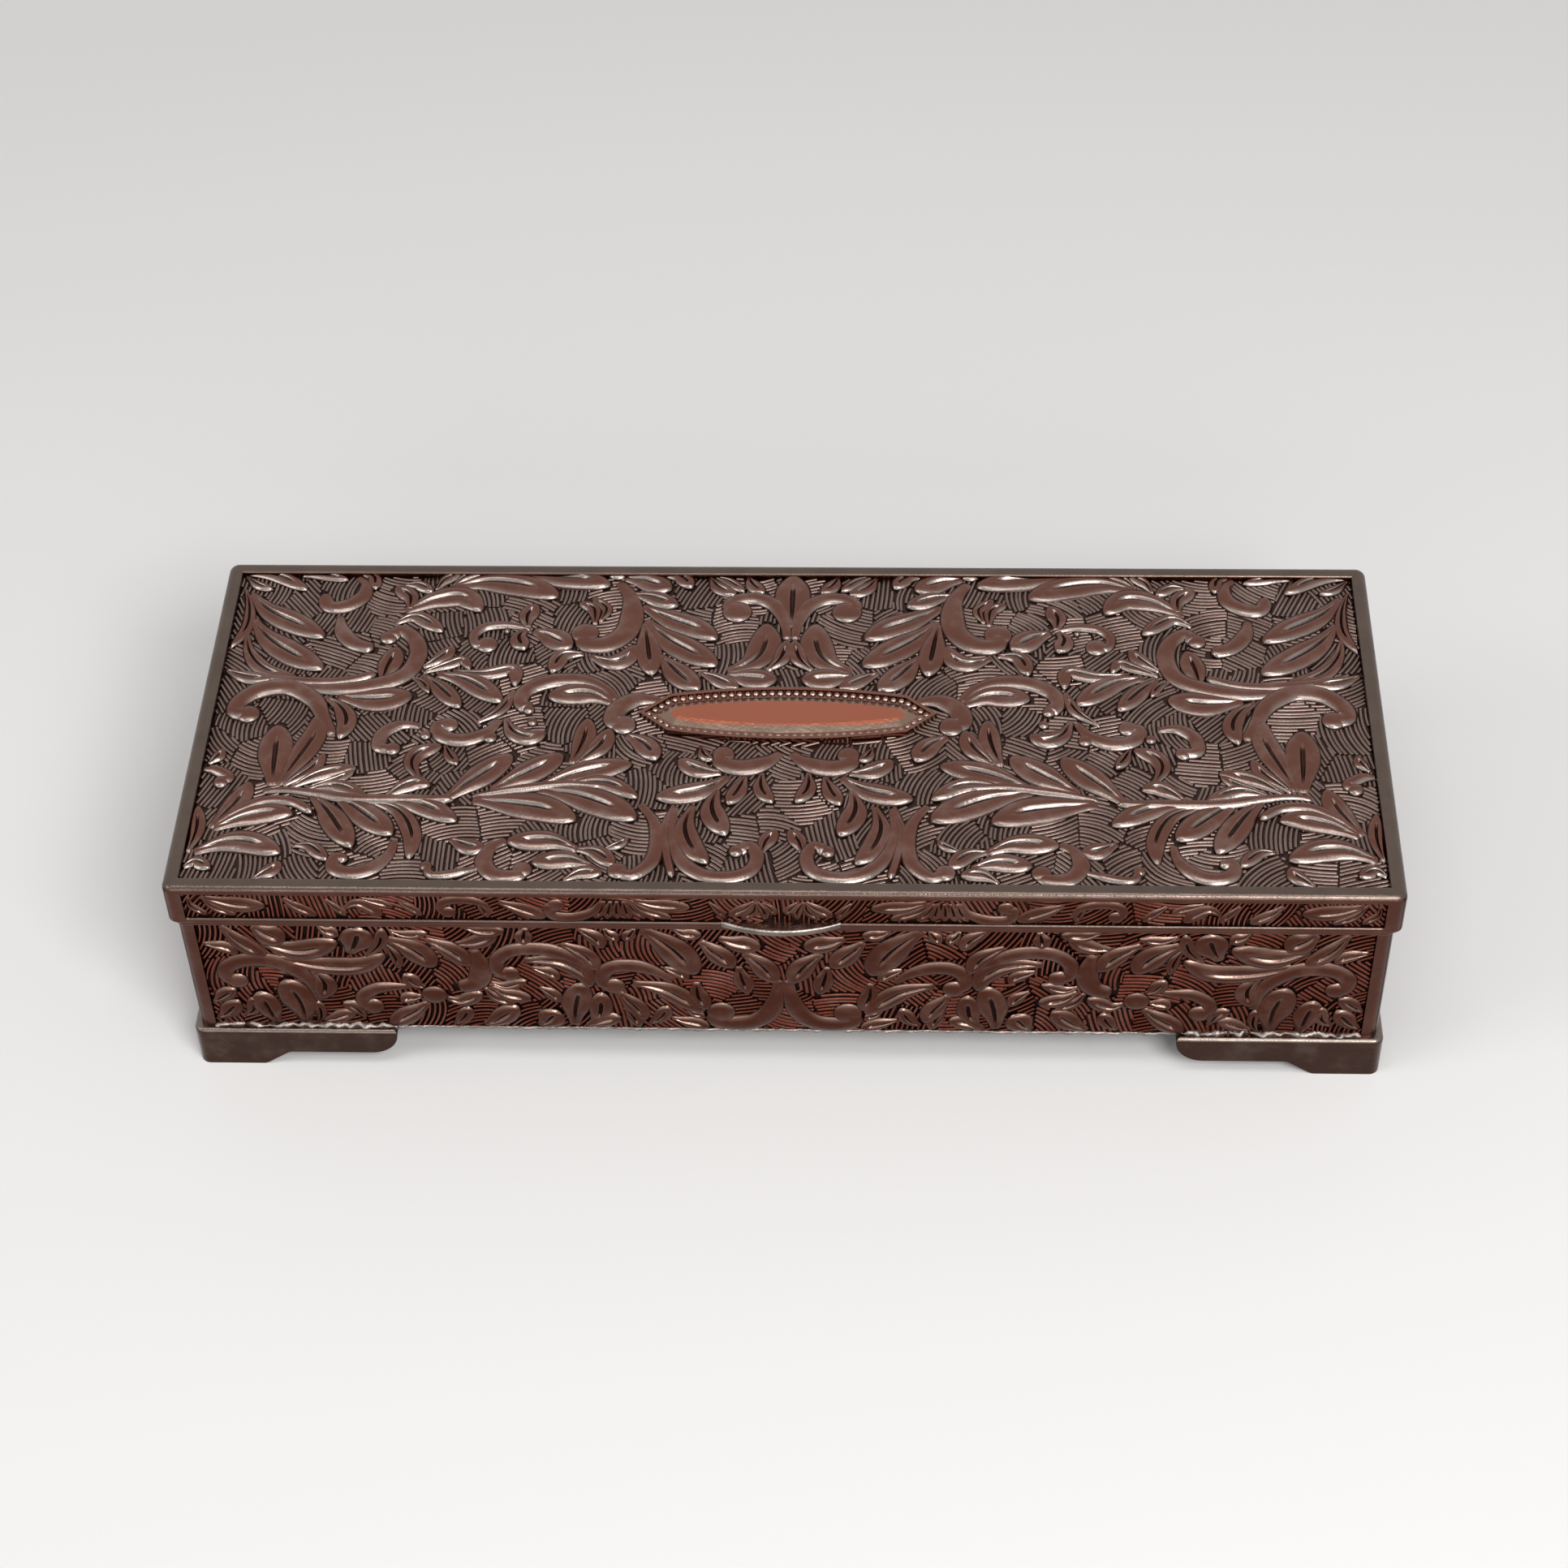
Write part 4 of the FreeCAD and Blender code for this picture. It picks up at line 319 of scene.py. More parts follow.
def smooth_path(points: Sequence[Point], count: int, steps: int = 16) -> np.ndarray:
    """Runs a smooth line through points.

    Args:
        points: The points that the line passes through.
        count: How many places to give along it.
        steps: How many steps it is worked out in between two points.

    Returns:
        The places, evenly spaced, as an array of count by 2.
    """
    given = np.asarray(points, dtype=float)
    padded = np.vstack([2 * given[0] - given[1], given, 2 * given[-1] - given[-2]])
    share = np.linspace(0, 1, steps, endpoint=False)[:, None]
    runs = []
    for before, start, end, after in zip(padded, padded[1:], padded[2:], padded[3:]):
        runs.append(0.5 * (
            2 * start + (end - before) * share + (2 * before - 5 * start + 4 * end - after) * share ** 2
            + (3 * start - before - 3 * end + after) * share ** 3
        ))
    dense = np.vstack([*runs, given[-1:]])
    walked = np.concatenate([[0], np.cumsum(np.linalg.norm(np.diff(dense, axis=0), axis=1))])
    wanted = np.linspace(0, walked[-1], count)
    return np.stack([np.interp(wanted, walked, dense[:, axis]) for axis in range(2)], axis=1)


def smooth_step(value: np.ndarray) -> np.ndarray:
    """An eased ramp from 0 to 1."""
    held = np.clip(value, 0, 1)
    return held * held * (3 - 2 * held)


def grid_index(rows: int, columns: int, closed: bool = False) -> np.ndarray:
    """Numbers the places of a grid, with its first column once more at the end where it is closed."""
    index = np.arange(rows * columns).reshape(rows, columns)
    return np.column_stack([index, index[:, :1]]) if closed else index


def grid_quads(index: np.ndarray) -> np.ndarray:
    """The quads among the places of a grid, four numbers to a row."""
    corners = [index[:-1, :-1], index[:-1, 1:], index[1:, 1:], index[1:, :-1]]
    return np.stack(corners, axis=-1).reshape(-1, 4)


def disc_quads(ring: np.ndarray) -> np.ndarray:
    """The quads that close a ring of an even number of places, as strips across it."""
    half = len(ring) // 2
    back = ring[::-1]
    return np.stack([ring[:half - 1], ring[1:half], back[1:half], back[:half - 1]], axis=-1)


def link(name: str, content: Any) -> bpy.types.Object:
    """Makes an object of a mesh, a lamp or a camera, and links it to the scene."""
    made = bpy.data.objects.new(name, content)
    bpy.context.scene.collection.objects.link(made)
    return made


def new_piece(
    name: str, places: np.ndarray, edges: Sequence[Any] = (), faces: Sequence[Any] = ()
) -> bpy.types.Object:
    """Makes a piece from places.

    Args:
        name: The piece's name.
        places: Its vertices, in metres.
        edges: Its loose edges, as pairs of vertex numbers.
        faces: Its faces, as rows of vertex numbers.

    Returns:
        The new object, linked to the scene.
    """
    mesh = bpy.data.meshes.new(name)
    mesh.from_pydata(places.tolist(), edges, faces)
    mesh.update()
    return link(name, mesh)


def keep_heights(mesh: bpy.types.Mesh, heights: np.ndarray) -> None:
    """Keeps on each vertex how far up the carving it is, from 0 at the ground to 1."""
    layer = mesh.attributes.new(RAISED, "FLOAT", "POINT")
    layer.data.foreach_set("value", heights.astype(np.float32))


def bake(made: bpy.types.Object, modifier: Any) -> None:
    """Keeps what an object's modifier makes as its plain mesh, and removes the modifier."""
    bpy.context.view_layer.update()
    graph = bpy.context.evaluated_depsgraph_get()
    mesh = bpy.data.meshes.new_from_object(made.evaluated_get(graph), depsgraph=graph)
    made.modifiers.remove(modifier)
    made.data = mesh


def face_outwards(mesh: bpy.types.Mesh) -> None:
    """Turns a closed mesh's faces so that they point out of it."""
    shape = bmesh.new()
    shape.from_mesh(mesh)
    bmesh.ops.recalc_face_normals(shape, faces=shape.faces)
    shape.to_mesh(mesh)
    shape.free()


@dataclass
class MeshData:
    """The vertices, faces and heights of a growing mesh."""

    vertices: list[np.ndarray] = field(default_factory=list)
    faces: list[np.ndarray] = field(default_factory=list)
    crowns: list[np.ndarray] = field(default_factory=list)
    count: int = 0

    def add(self, places: np.ndarray, quads: np.ndarray, crown: np.ndarray) -> None:
        """Adds places, the quads among them, and how far up the carving each place is, from 0 to 1."""
        self.vertices.append(places)
        self.faces.append(quads + self.count)
        self.crowns.append(crown)
        self.count += len(places)

    def build(self, name: str) -> bpy.types.Object:
        """Makes the piece, with its heights kept on its vertices."""
        made = new_piece(name, np.vstack(self.vertices), faces=np.vstack(self.faces).tolist())
        keep_heights(made.data, np.concatenate(self.crowns))
        made.data.shade_smooth()
        return made


@dataclass(frozen=True)
class Panel:
    """A flat field that carving stands on: a place on it in metres, and the ways that it faces."""

    origin: Vector
    outward: tuple[int, int, int]
    up: tuple[int, int, int] = (0, 0, 1)

    @property
    def axes(self) -> np.ndarray:
        """Its directions to the right, up and outwards, one to a row."""
        return np.array([np.cross(self.up, self.outward), self.up, self.outward], dtype=float)

    def place(self, flat: np.ndarray, height: np.ndarray) -> np.ndarray:
        """Turns panel places in millimetres into places in the frame, in metres."""
        local = np.column_stack([flat, height]) * MM
        return np.asarray(self.origin) + local @ self.axes

    def measure(self, places: np.ndarray) -> np.ndarray:
        """Turns places in the frame, in metres, into panel places in millimetres."""
        return (places - np.asarray(self.origin)) @ self.axes.T / MM


@dataclass(frozen=True)
class Carving:
    """The way that leaves, scrolls and knobs are cut, in millimetres and shares.

    A share along a leaf or scroll runs from its root or stem, at 0, to its tip or ball, at 1. A leaf is
    widest at widest_at and closes to its tip from there, and its vein is a groove along its middle.
    """

    height: float
    along: int = 22
    half_across: tuple[float, ...] = (0.06, 0.12, 0.2, 0.34, 0.54, 0.72, 0.85, 0.93, 0.98, 1.0)
    dome_power: float = 0.6
    leaf_fullness: float = 1.4
    leaf_flatness: float = 2.3
    leaf_lowest: float = 0.84
    slim_height: float = 0.66
    height_per_width: float = 0.1
    root_width: float = 0.34
    root_height: float = 0.55
    root_run: float = 0.45
    widest_at: float = 0.55
    tip_power: float = 2.5
    tip_least: float = 0.015
    tip_roundness: float = 0.72
    tip_drop: float = 0.3
    tip_drop_power: float = 4.0
    vein_depth: float = 0.72
    vein_width: float = 0.14
    vein_from: float = 0.3
    vein_to: float = 0.82
    vein_fade: float = 0.16
    scroll_fullness: float = 1.46
    scroll_flatness: float = 2.0
    scroll_lowest: float = 0.86
    scroll_steps: int = 6
    stem_share: float = 0.5
    stem_width_run: float = 0.45
    stem_height_run: float = 0.35
    neck_from: float = 0.6
    neck_loss: float = 0.16
    end_from: float = 0.9
    end_power: float = 2.2
    end_least: float = 0.02
    end_roundness: float = 0.6
    knob_rings: int = 8
    knob_sides: int = 28
    knob_crown: float = 0.02
    knob_roundness: float = 0.72
    no_length: float = 1e-9

    @staticmethod
    def varied(lowest: float, rank: int, step: int, cycle: int) -> float:
        """A share from a lowest one to 1 that differs from one ridge to the next."""
        return lowest + (1 - lowest) * ((rank * step) % cycle) / (cycle - 1)

    def sweep(
        self, data: MeshData, panel: Panel, spine: np.ndarray, half_width: np.ndarray,
        crest: np.ndarray, vein: np.ndarray, flatness: float,
    ) -> None:
        """Adds one closed ridge along a spine, brought down to the ground at both ends.

        Args:
            data: The mesh that the ridge goes into.
            panel: The field that it stands on.
            spine: The places along its middle.
            half_width: Its half width at each place.
            crest: Its height at each place.
            vein: How deep its middle groove is at each place, as a share of the height.
            flatness: How flat its top is and how steep its sides are.
        """
        crest[[0, -1]] = 0
        along = np.gradient(spine, axis=0)
        along /= np.linalg.norm(along, axis=1, keepdims=True) + self.no_length
        sideways = np.stack([-along[:, 1], along[:, 0]], axis=1)
        across = np.array([*(-share for share in reversed(self.half_across)), 0.0, *self.half_across])
        dome = (1 - np.abs(across) ** flatness) ** self.dome_power
        groove = np.exp(-(across / self.vein_width) ** 2)
        flat = spine[:, None, :] + sideways[:, None, :] * (half_width[:, None] * across[None, :])[..., None]
        share = dome[None, :] * (1 - vein[:, None] * groove[None, :])
        height = crest[:, None] * share
        crown = np.where(crest[:, None] > 0, share, 0.0)
        index = grid_index(*height.shape)
        under = np.stack([index[:-1, 0], index[:-1, -1], index[1:, -1], index[1:, 0]], axis=-1)
        quads = np.vstack([grid_quads(index)[:, ::-1], under])
        data.add(panel.place(flat.reshape(-1, 2), height.reshape(-1)), quads, crown.reshape(-1))

    def leaf(self, data: MeshData, panel: Panel, width: float, points: Sequence[Point], rank: int) -> None:
        """Adds a veined leaf along its spine, a little higher or lower by its rank."""
        spine = smooth_path(points, self.along)
        place = np.linspace(0, 1, self.along)
        swell = self.root_width + (1 - self.root_width) * smooth_step(place / self.widest_at)
        closing = np.clip((place - self.widest_at) / (1 - self.widest_at), 0, 1)
        taper = np.maximum(1 - closing ** self.tip_power, self.tip_least) ** self.tip_roundness
        half_width = width / 2 * self.leaf_fullness * swell * taper
        tall = self.height * self.varied(self.leaf_lowest, rank, 5, 7)
        tall *= min(1.0, self.slim_height + self.height_per_width * width)
        rise = self.root_height + (1 - self.root_height) * smooth_step(place / self.root_run)
        crest = tall * rise * (1 - self.tip_drop * closing ** self.tip_drop_power)
        fading = smooth_step((place - self.vein_to + self.vein_fade) / self.vein_fade)
        vein = self.vein_depth * smooth_step(place / self.vein_from) * (1 - fading)
        self.sweep(data, panel, spine, half_width, crest, vein, self.leaf_flatness)

    def scroll(
        self, data: MeshData, panel: Panel, width: float, ball: float, points: Sequence[Point], rank: int
    ) -> None:
        """Adds a plain rounded band that widens from its stem, and the ball that it ends in."""
        count = max(self.along, len(points) * self.scroll_steps)
        spine = smooth_path(points, count)
        place = np.linspace(0, 1, count)
        swell = self.stem_share + (1 - self.stem_share) * smooth_step(place / self.stem_width_run)
        neck = 1 - self.neck_loss * smooth_step((place - self.neck_from) / (1 - self.neck_from))
        half_width = width / 2 * self.scroll_fullness * (swell * neck)
        if not ball:
            closing = np.clip((place - self.end_from) / (1 - self.end_from), 0, 1)
            taper = np.maximum(1 - closing ** self.end_power, self.end_least) ** self.end_roundness
            half_width = half_width * taper
        tall = self.height * self.varied(self.scroll_lowest, rank, 3, 5)
        rise = self.stem_share + (1 - self.stem_share) * smooth_step(place / self.stem_height_run)
        self.sweep(data, panel, spine, half_width, tall * rise, np.zeros(count), self.scroll_flatness)
        if ball:
            self.knob(data, panel, ball, points[-1], 1.0)

    def knob(self, data: MeshData, panel: Panel, radius: float, middle: Point, tall_share: float) -> None:
        """Adds a round button with a domed top."""
        slope = np.linspace(self.knob_crown, 1, self.knob_rings) * math.pi / 2
        reach = np.concatenate([np.sin(slope) * radius, [radius]])
        height = np.concatenate([np.cos(slope) ** self.knob_roundness, [0]]) * self.height * tall_share
        angle = np.arange(self.knob_sides) / self.knob_sides * 2 * math.pi
        flat = np.stack([
            middle[0] + reach[:, None] * np.cos(angle), middle[1] + reach[:, None] * np.sin(angle),
        ], axis=-1).reshape(-1, 2)
        tall = np.repeat(height, self.knob_sides)
        index = grid_index(len(height), self.knob_sides, closed=True)
        caps = [disc_quads(index[0, :-1]), disc_quads(index[-1, :-1])[:, ::-1]]
        quads = np.vstack([grid_quads(index)[:, ::-1], *caps])
        data.add(panel.place(flat, tall), quads, tall / self.height)


@dataclass(frozen=True)
class RoughEdge:
    """A line of rough metal that no file has smoothed, in millimetres."""

    reach: float
    reach_spread: float
    tall: float
    tall_spread: float
    step: float = 0.45
    least_reach: float = 0.15
    least_rise: float = 0.12
    least_drop: float = 0.2
    fewest: int = 4
    blur: tuple[float, float, float] = (0.3, 0.4, 0.3)
    profile: tuple[Point, ...] = (
        (-0.5, 0.0), (1.0, 0.0), (0.92, 0.5), (0.6, 0.85), (0.1, 1.0), (-0.5, 1.0),
    )
    end_quads: tuple[tuple[int, ...], ...] = ((0, 1, 2, 3), (0, 3, 4, 5))

    def add(
        self, data: MeshData, panel: Panel, start: float, end: float, level: float, rng: np.random.Generator
    ) -> None:
        """Adds one run of it.

        Args:
            data: The mesh that it goes into.
            panel: The field that it runs along.
            start: Where the run starts along the field.
            end: Where it ends.
            level: The height of the surface that it lies on or hangs from.
            rng: Where the random numbers come from.
        """
        count = max(self.fewest, int((end - start) / self.step))
        uneven = rng.normal(0, 1, (2, count + 2))
        before, here, after = self.blur
        uneven = uneven[:, :-2] * before + uneven[:, 1:-1] * here + uneven[:, 2:] * after
        reach = np.maximum(self.reach + self.reach_spread * uneven[0], self.least_reach)
        tall = self.tall + self.tall_spread * uneven[1] * math.copysign(1, self.tall)
        tall = np.maximum(tall, self.least_rise) if self.tall > 0 else np.minimum(tall, -self.least_drop)
        shape = np.asarray(self.profile)
        along = np.repeat(np.linspace(start, end, count), len(shape))
        flat = np.stack([along, level + np.outer(tall, shape[:, 1]).ravel()], axis=1)
        height = np.outer(reach, shape[:, 0]).ravel()
        index = grid_index(count, len(shape), closed=True)
        ends = [index[row][list(corners)] for row in (0, -1) for corners in self.end_quads]
        data.add(panel.place(flat, height), np.vstack([grid_quads(index), ends]), np.ones(len(flat)))


@dataclass(frozen=True)
class Pattern:
    """A panel's leaves, scrolls and knobs, on its left half or all over."""

    leaves: tuple[Row, ...]
    scrolls: tuple[Row, ...]
    knobs: tuple[Knob, ...] = ()
    centre_leaf: Row | None = None
    knob_height: float = 0.92
    cover_share: float = 0.32
    ball_cover_share: float = 0.85
    least_ball_cover: float = 0.3
    leaf_places: int = 14
    scroll_places: int = 30
    bare_root: int = 2
    bare_stem: int = 3

    def within(self, half_run: float) -> "Pattern":
        """The part of the pattern that fits between two ends."""
        def fits(points: Iterable[Point]) -> bool:
            """Whether all of a row's places lie between them."""
            return all(abs(point[0]) < half_run for point in points)
        return Pattern(
            tuple(row for row in self.leaves if fits(row[1:])),
            tuple(row for row in self.scrolls if fits(row[2:])),
            tuple(row for row in self.knobs if fits(row[1:])),
            self.centre_leaf,
        )

    def both_halves(self) -> "Pattern":
        """The pattern with its mirror image and the leaf at its middle."""
        def turned(rows: tuple[Row, ...], first: int) -> tuple[Row, ...]:
            """The rows with their places, which start at the column first, mirrored."""
            return tuple(row[:first] + tuple((-x, y) for x, y in row[first:]) for row in rows)
        centre = (self.centre_leaf,) if self.centre_leaf else ()
        return Pattern(
            self.leaves + turned(self.leaves, 1) + centre,
            self.scrolls + turned(self.scrolls, 2),
            self.knobs + turned(self.knobs, 1),
        )

    def cut_leaves(self, data: MeshData, panel: Panel, carving: Carving) -> None:
        """Adds every leaf to a mesh."""
        for rank, row in enumerate(self.leaves):
            carving.leaf(data, panel, row[0], row[1:], rank)

    def cut_scrolls(self, data: MeshData, panel: Panel, carving: Carving) -> None:
        """Adds every scroll and knob to a mesh."""
        for rank, row in enumerate(self.scrolls):
            carving.scroll(data, panel, row[0], row[1], row[2:], rank)
        for radius, middle in self.knobs:
            carving.knob(data, panel, radius, middle, self.knob_height)

    def covered(self) -> np.ndarray:
        """The places that the carving covers, but for its roots, with their reach in the third column."""
        found = []
        for row in self.leaves:
            spine = smooth_path(row[1:], self.leaf_places)[self.bare_root:-1]
            found.append(np.column_stack([spine, np.full(len(spine), row[0] * self.cover_share)]))
        for row in self.scrolls:
            spine = smooth_path(row[2:], self.scroll_places)[self.bare_stem:]
            found.append(np.column_stack([spine, np.full(len(spine), row[0] * self.cover_share)]))
            ball_reach = max(row[1] * self.ball_cover_share, self.least_ball_cover)
            found.append(np.array([[*row[-1], ball_reach]]))
        return np.vstack(found)


class Wiring:
    """A short way to add and join nodes in one tree."""

    def __init__(self, tree: Any) -> None:
        """Keeps the tree that nodes go into."""
        self.tree = tree

    @classmethod
    def group(
        cls, name: str, kind: str, inputs: dict[str, tuple[str, Any]], outputs: dict[str, str]
    ) -> "Wiring":
        """Starts a node group with named sockets.

        Args:
            name: The group's name.
            kind: The kind of node tree.
            inputs: Each input's name, with its socket type and its default.
            outputs: Each output's name, with its socket type.

        Returns:
            The wiring of the group, with its input and output nodes in it.
        """
        tree = bpy.data.node_groups.new(name, kind)
        for label, (socket_type, default) in inputs.items():
            socket = tree.interface.new_socket(label, in_out="INPUT", socket_type=socket_type)
            if default is not None:
                socket.default_value = default
        for label, socket_type in outputs.items():
            tree.interface.new_socket(label, in_out="OUTPUT", socket_type=socket_type)
        tree.nodes.new("NodeGroupInput")
        tree.nodes.new("NodeGroupOutput")
        return cls(tree)

    @classmethod
    def holder(cls, made: Any) -> "Wiring":
        """Empties the nodes of a material or a world.

        Args:
            made: The new material or world.

        Returns:
            The wiring of its own tree.
        """
        made.use_nodes = True
        made.node_tree.nodes.clear()
        return cls(made.node_tree)

    def node(self, kind: str, settings: dict[str, Any] | None = None, **inputs: Any) -> Any:
        """Adds a node.

        Args:
            kind: The node's type.
            settings: Its own properties.
            **inputs: What goes into its sockets, by name with _ for a space, or by number after i.

        Returns:
            The new node.
        """
        made = self.tree.nodes.new(kind)
        for label, value in (settings or {}).items():
            setattr(made, label, value)
        for label, value in inputs.items():
            numbered = label[0] == "i" and label[1:].isdigit()
            self.feed(made.inputs[int(label[1:]) if numbered else label.replace("_", " ")], value)
        return made

    def feed(self, socket: Any, value: Any) -> None:
        """Joins a socket to another, or sets its value, which for a colour is opaque."""
        if isinstance(value, bpy.types.NodeSocket):
            self.tree.links.new(value, socket)
        elif socket.type == "RGBA":
            socket.default_value = (*value, 1.0)
        else:
            socket.default_value = value

    def maths(self, operation: str, *values: Any) -> Any:
        """The result of a sum on numbers."""
        made = self.node("ShaderNodeMath", {"operation": operation})
        for socket, value in zip(made.inputs, values):
            self.feed(socket, value)
        return made.outputs[0]

    def largest(self, values: Sequence[Any]) -> Any:
        """The largest of three numbers."""
        return self.maths("MAXIMUM", self.maths("MAXIMUM", values[0], values[1]), values[2])

    def ramp(self, value: Any, low: float, high: float, to_low: float = 0.0, to_high: float = 1.0) -> Any:
        """A smooth change of a number from one range to another."""
        made = self.node("ShaderNodeMapRange", {"interpolation_type": "SMOOTHSTEP"})
        for socket, given in zip(made.inputs, (value, low, high, to_low, to_high)):
            self.feed(socket, given)
        return made.outputs[0]

    def blend(self, share: Any, first: Any, second: Any, mode: str = "MIX") -> Any:
        """A mix of two colours, for which a mix node has its sockets 6, 7 and 2."""
        made = self.node(
            "ShaderNodeMix", {"data_type": "RGBA", "blend_type": mode}, i0=share, i6=first, i7=second
        )
        return made.outputs[2]

    def noise(self, place: Any, scale: float, **inputs: Any) -> Any:
        """A cloudy number that changes over the surface."""
        return self.node("ShaderNodeTexNoise", Vector=place, Scale=scale, **inputs).outputs[0]

    def parts(self, vector: Any) -> Any:
        """The x, y and z of a vector."""
        return self.node("ShaderNodeSeparateXYZ", Vector=vector).outputs

    @property
    def place(self) -> Any:
        """The place on the piece, in metres."""
        return self.node("ShaderNodeTexCoord").outputs["Object"]

    @property
    def normal(self) -> Any:
        """The way that the surface faces, on the piece's own axes."""
        return self.node("ShaderNodeTexCoord").outputs["Normal"]

    @property
    def raised(self) -> Any:
        """How far up the carving a place is, from 0 to 1."""
        return self.node("ShaderNodeAttribute", {"attribute_name": RAISED}).outputs["Fac"]

    @property
    def entry(self) -> Any:
        """The group's own inputs."""
        return self.tree.nodes["Group Input"].outputs

    @property
    def result(self) -> Any:
        """The group's own outputs."""
        return self.tree.nodes["Group Output"].inputs

    def end_geometry(self, shape: Any) -> Any:
        """Ends a geometry tree with real, smooth shapes in the material Finish, and gives the tree."""
        joined = self.node("GeometryNodeRealizeInstances", Geometry=shape.outputs[0])
        smooth = self.node("GeometryNodeSetShadeSmooth", Geometry=joined.outputs[0])
        finish = self.entry["Finish"]
        dressed = self.node("GeometryNodeSetMaterial", Geometry=smooth.outputs[0], Material=finish)
        self.feed(self.result[0], dressed.outputs[0])
        return self.tree


def run_tree(made: bpy.types.Object, tree: Any, values: dict[str, Any]) -> None:
    """Runs a geometry tree on an object and keeps the plain mesh.

    Args:
        made: The object that the tree starts from.
        tree: The geometry tree.
        values: What each named input of the tree is set to.
    """
    modifier = made.modifiers.new("build", "NODES")
    modifier.node_group = tree
    for item in tree.interface.items_tree:
        if item.in_out == "INPUT" and item.name in values:
            modifier[item.identifier] = values[item.name]
    bake(made, modifier)


def ridge_tree() -> Any:
    """A tree that turns lines into fine rounded ridges."""
    w = Wiring.group("fine_ridges", "GeometryNodeTree", {
        "Lines": ("NodeSocketGeometry", None), "Radius": ("NodeSocketFloat", 0.3 * MM),
        "Sides": ("NodeSocketInt", 5), "Finish": ("NodeSocketMaterial", None),
    }, {"Ridges": "NodeSocketGeometry"})
    curves = w.node("GeometryNodeMeshToCurve", Mesh=w.entry["Lines"])
    ring = w.node("GeometryNodeCurvePrimitiveCircle", Resolution=w.entry["Sides"], Radius=w.entry["Radius"])
    swept = w.node(
        "GeometryNodeCurveToMesh", Curve=curves.outputs[0], Profile_Curve=ring.outputs[0], Fill_Caps=True
    )
    return w.end_geometry(swept)


def bead_tree() -> Any:
    """A tree that sets round beads along a line."""
    w = Wiring.group("bead_row", "GeometryNodeTree", {
        "Line": ("NodeSocketGeometry", None), "Pitch": ("NodeSocketFloat", 1.3 * MM),
        "Radius": ("NodeSocketFloat", 0.5 * MM), "Flatness": ("NodeSocketFloat", 0.6),
        "Finish": ("NodeSocketMaterial", None),
    }, {"Beads": "NodeSocketGeometry"})
    curves = w.node("GeometryNodeMeshToCurve", Mesh=w.entry["Line"])
    spots = w.node(
        "GeometryNodeResampleCurve", {"mode": "LENGTH"}, Curve=curves.outputs[0], Length=w.entry["Pitch"]
    )
    bead = w.node("GeometryNodeMeshUVSphere", Segments=12, Rings=8, Radius=w.entry["Radius"])
    flat = w.node("ShaderNodeCombineXYZ", X=1.0, Y=1.0, Z=w.entry["Flatness"])
    points = w.node("GeometryNodeCurveToPoints", {"mode": "EVALUATED"}, Curve=spots.outputs[0])
    row = w.node(
        "GeometryNodeInstanceOnPoints", Points=points.outputs[0], Instance=bead.outputs[0],
        Scale=flat.outputs[0],
    )
    return w.end_geometry(row)


@dataclass(frozen=True)
class Ground:
    """A rectangle of a panel that fine ridges fill, in millimetres, with the carving that hides them."""

    panel: Panel
    half_run: float
    low: float
    high: float
    pattern: Pattern


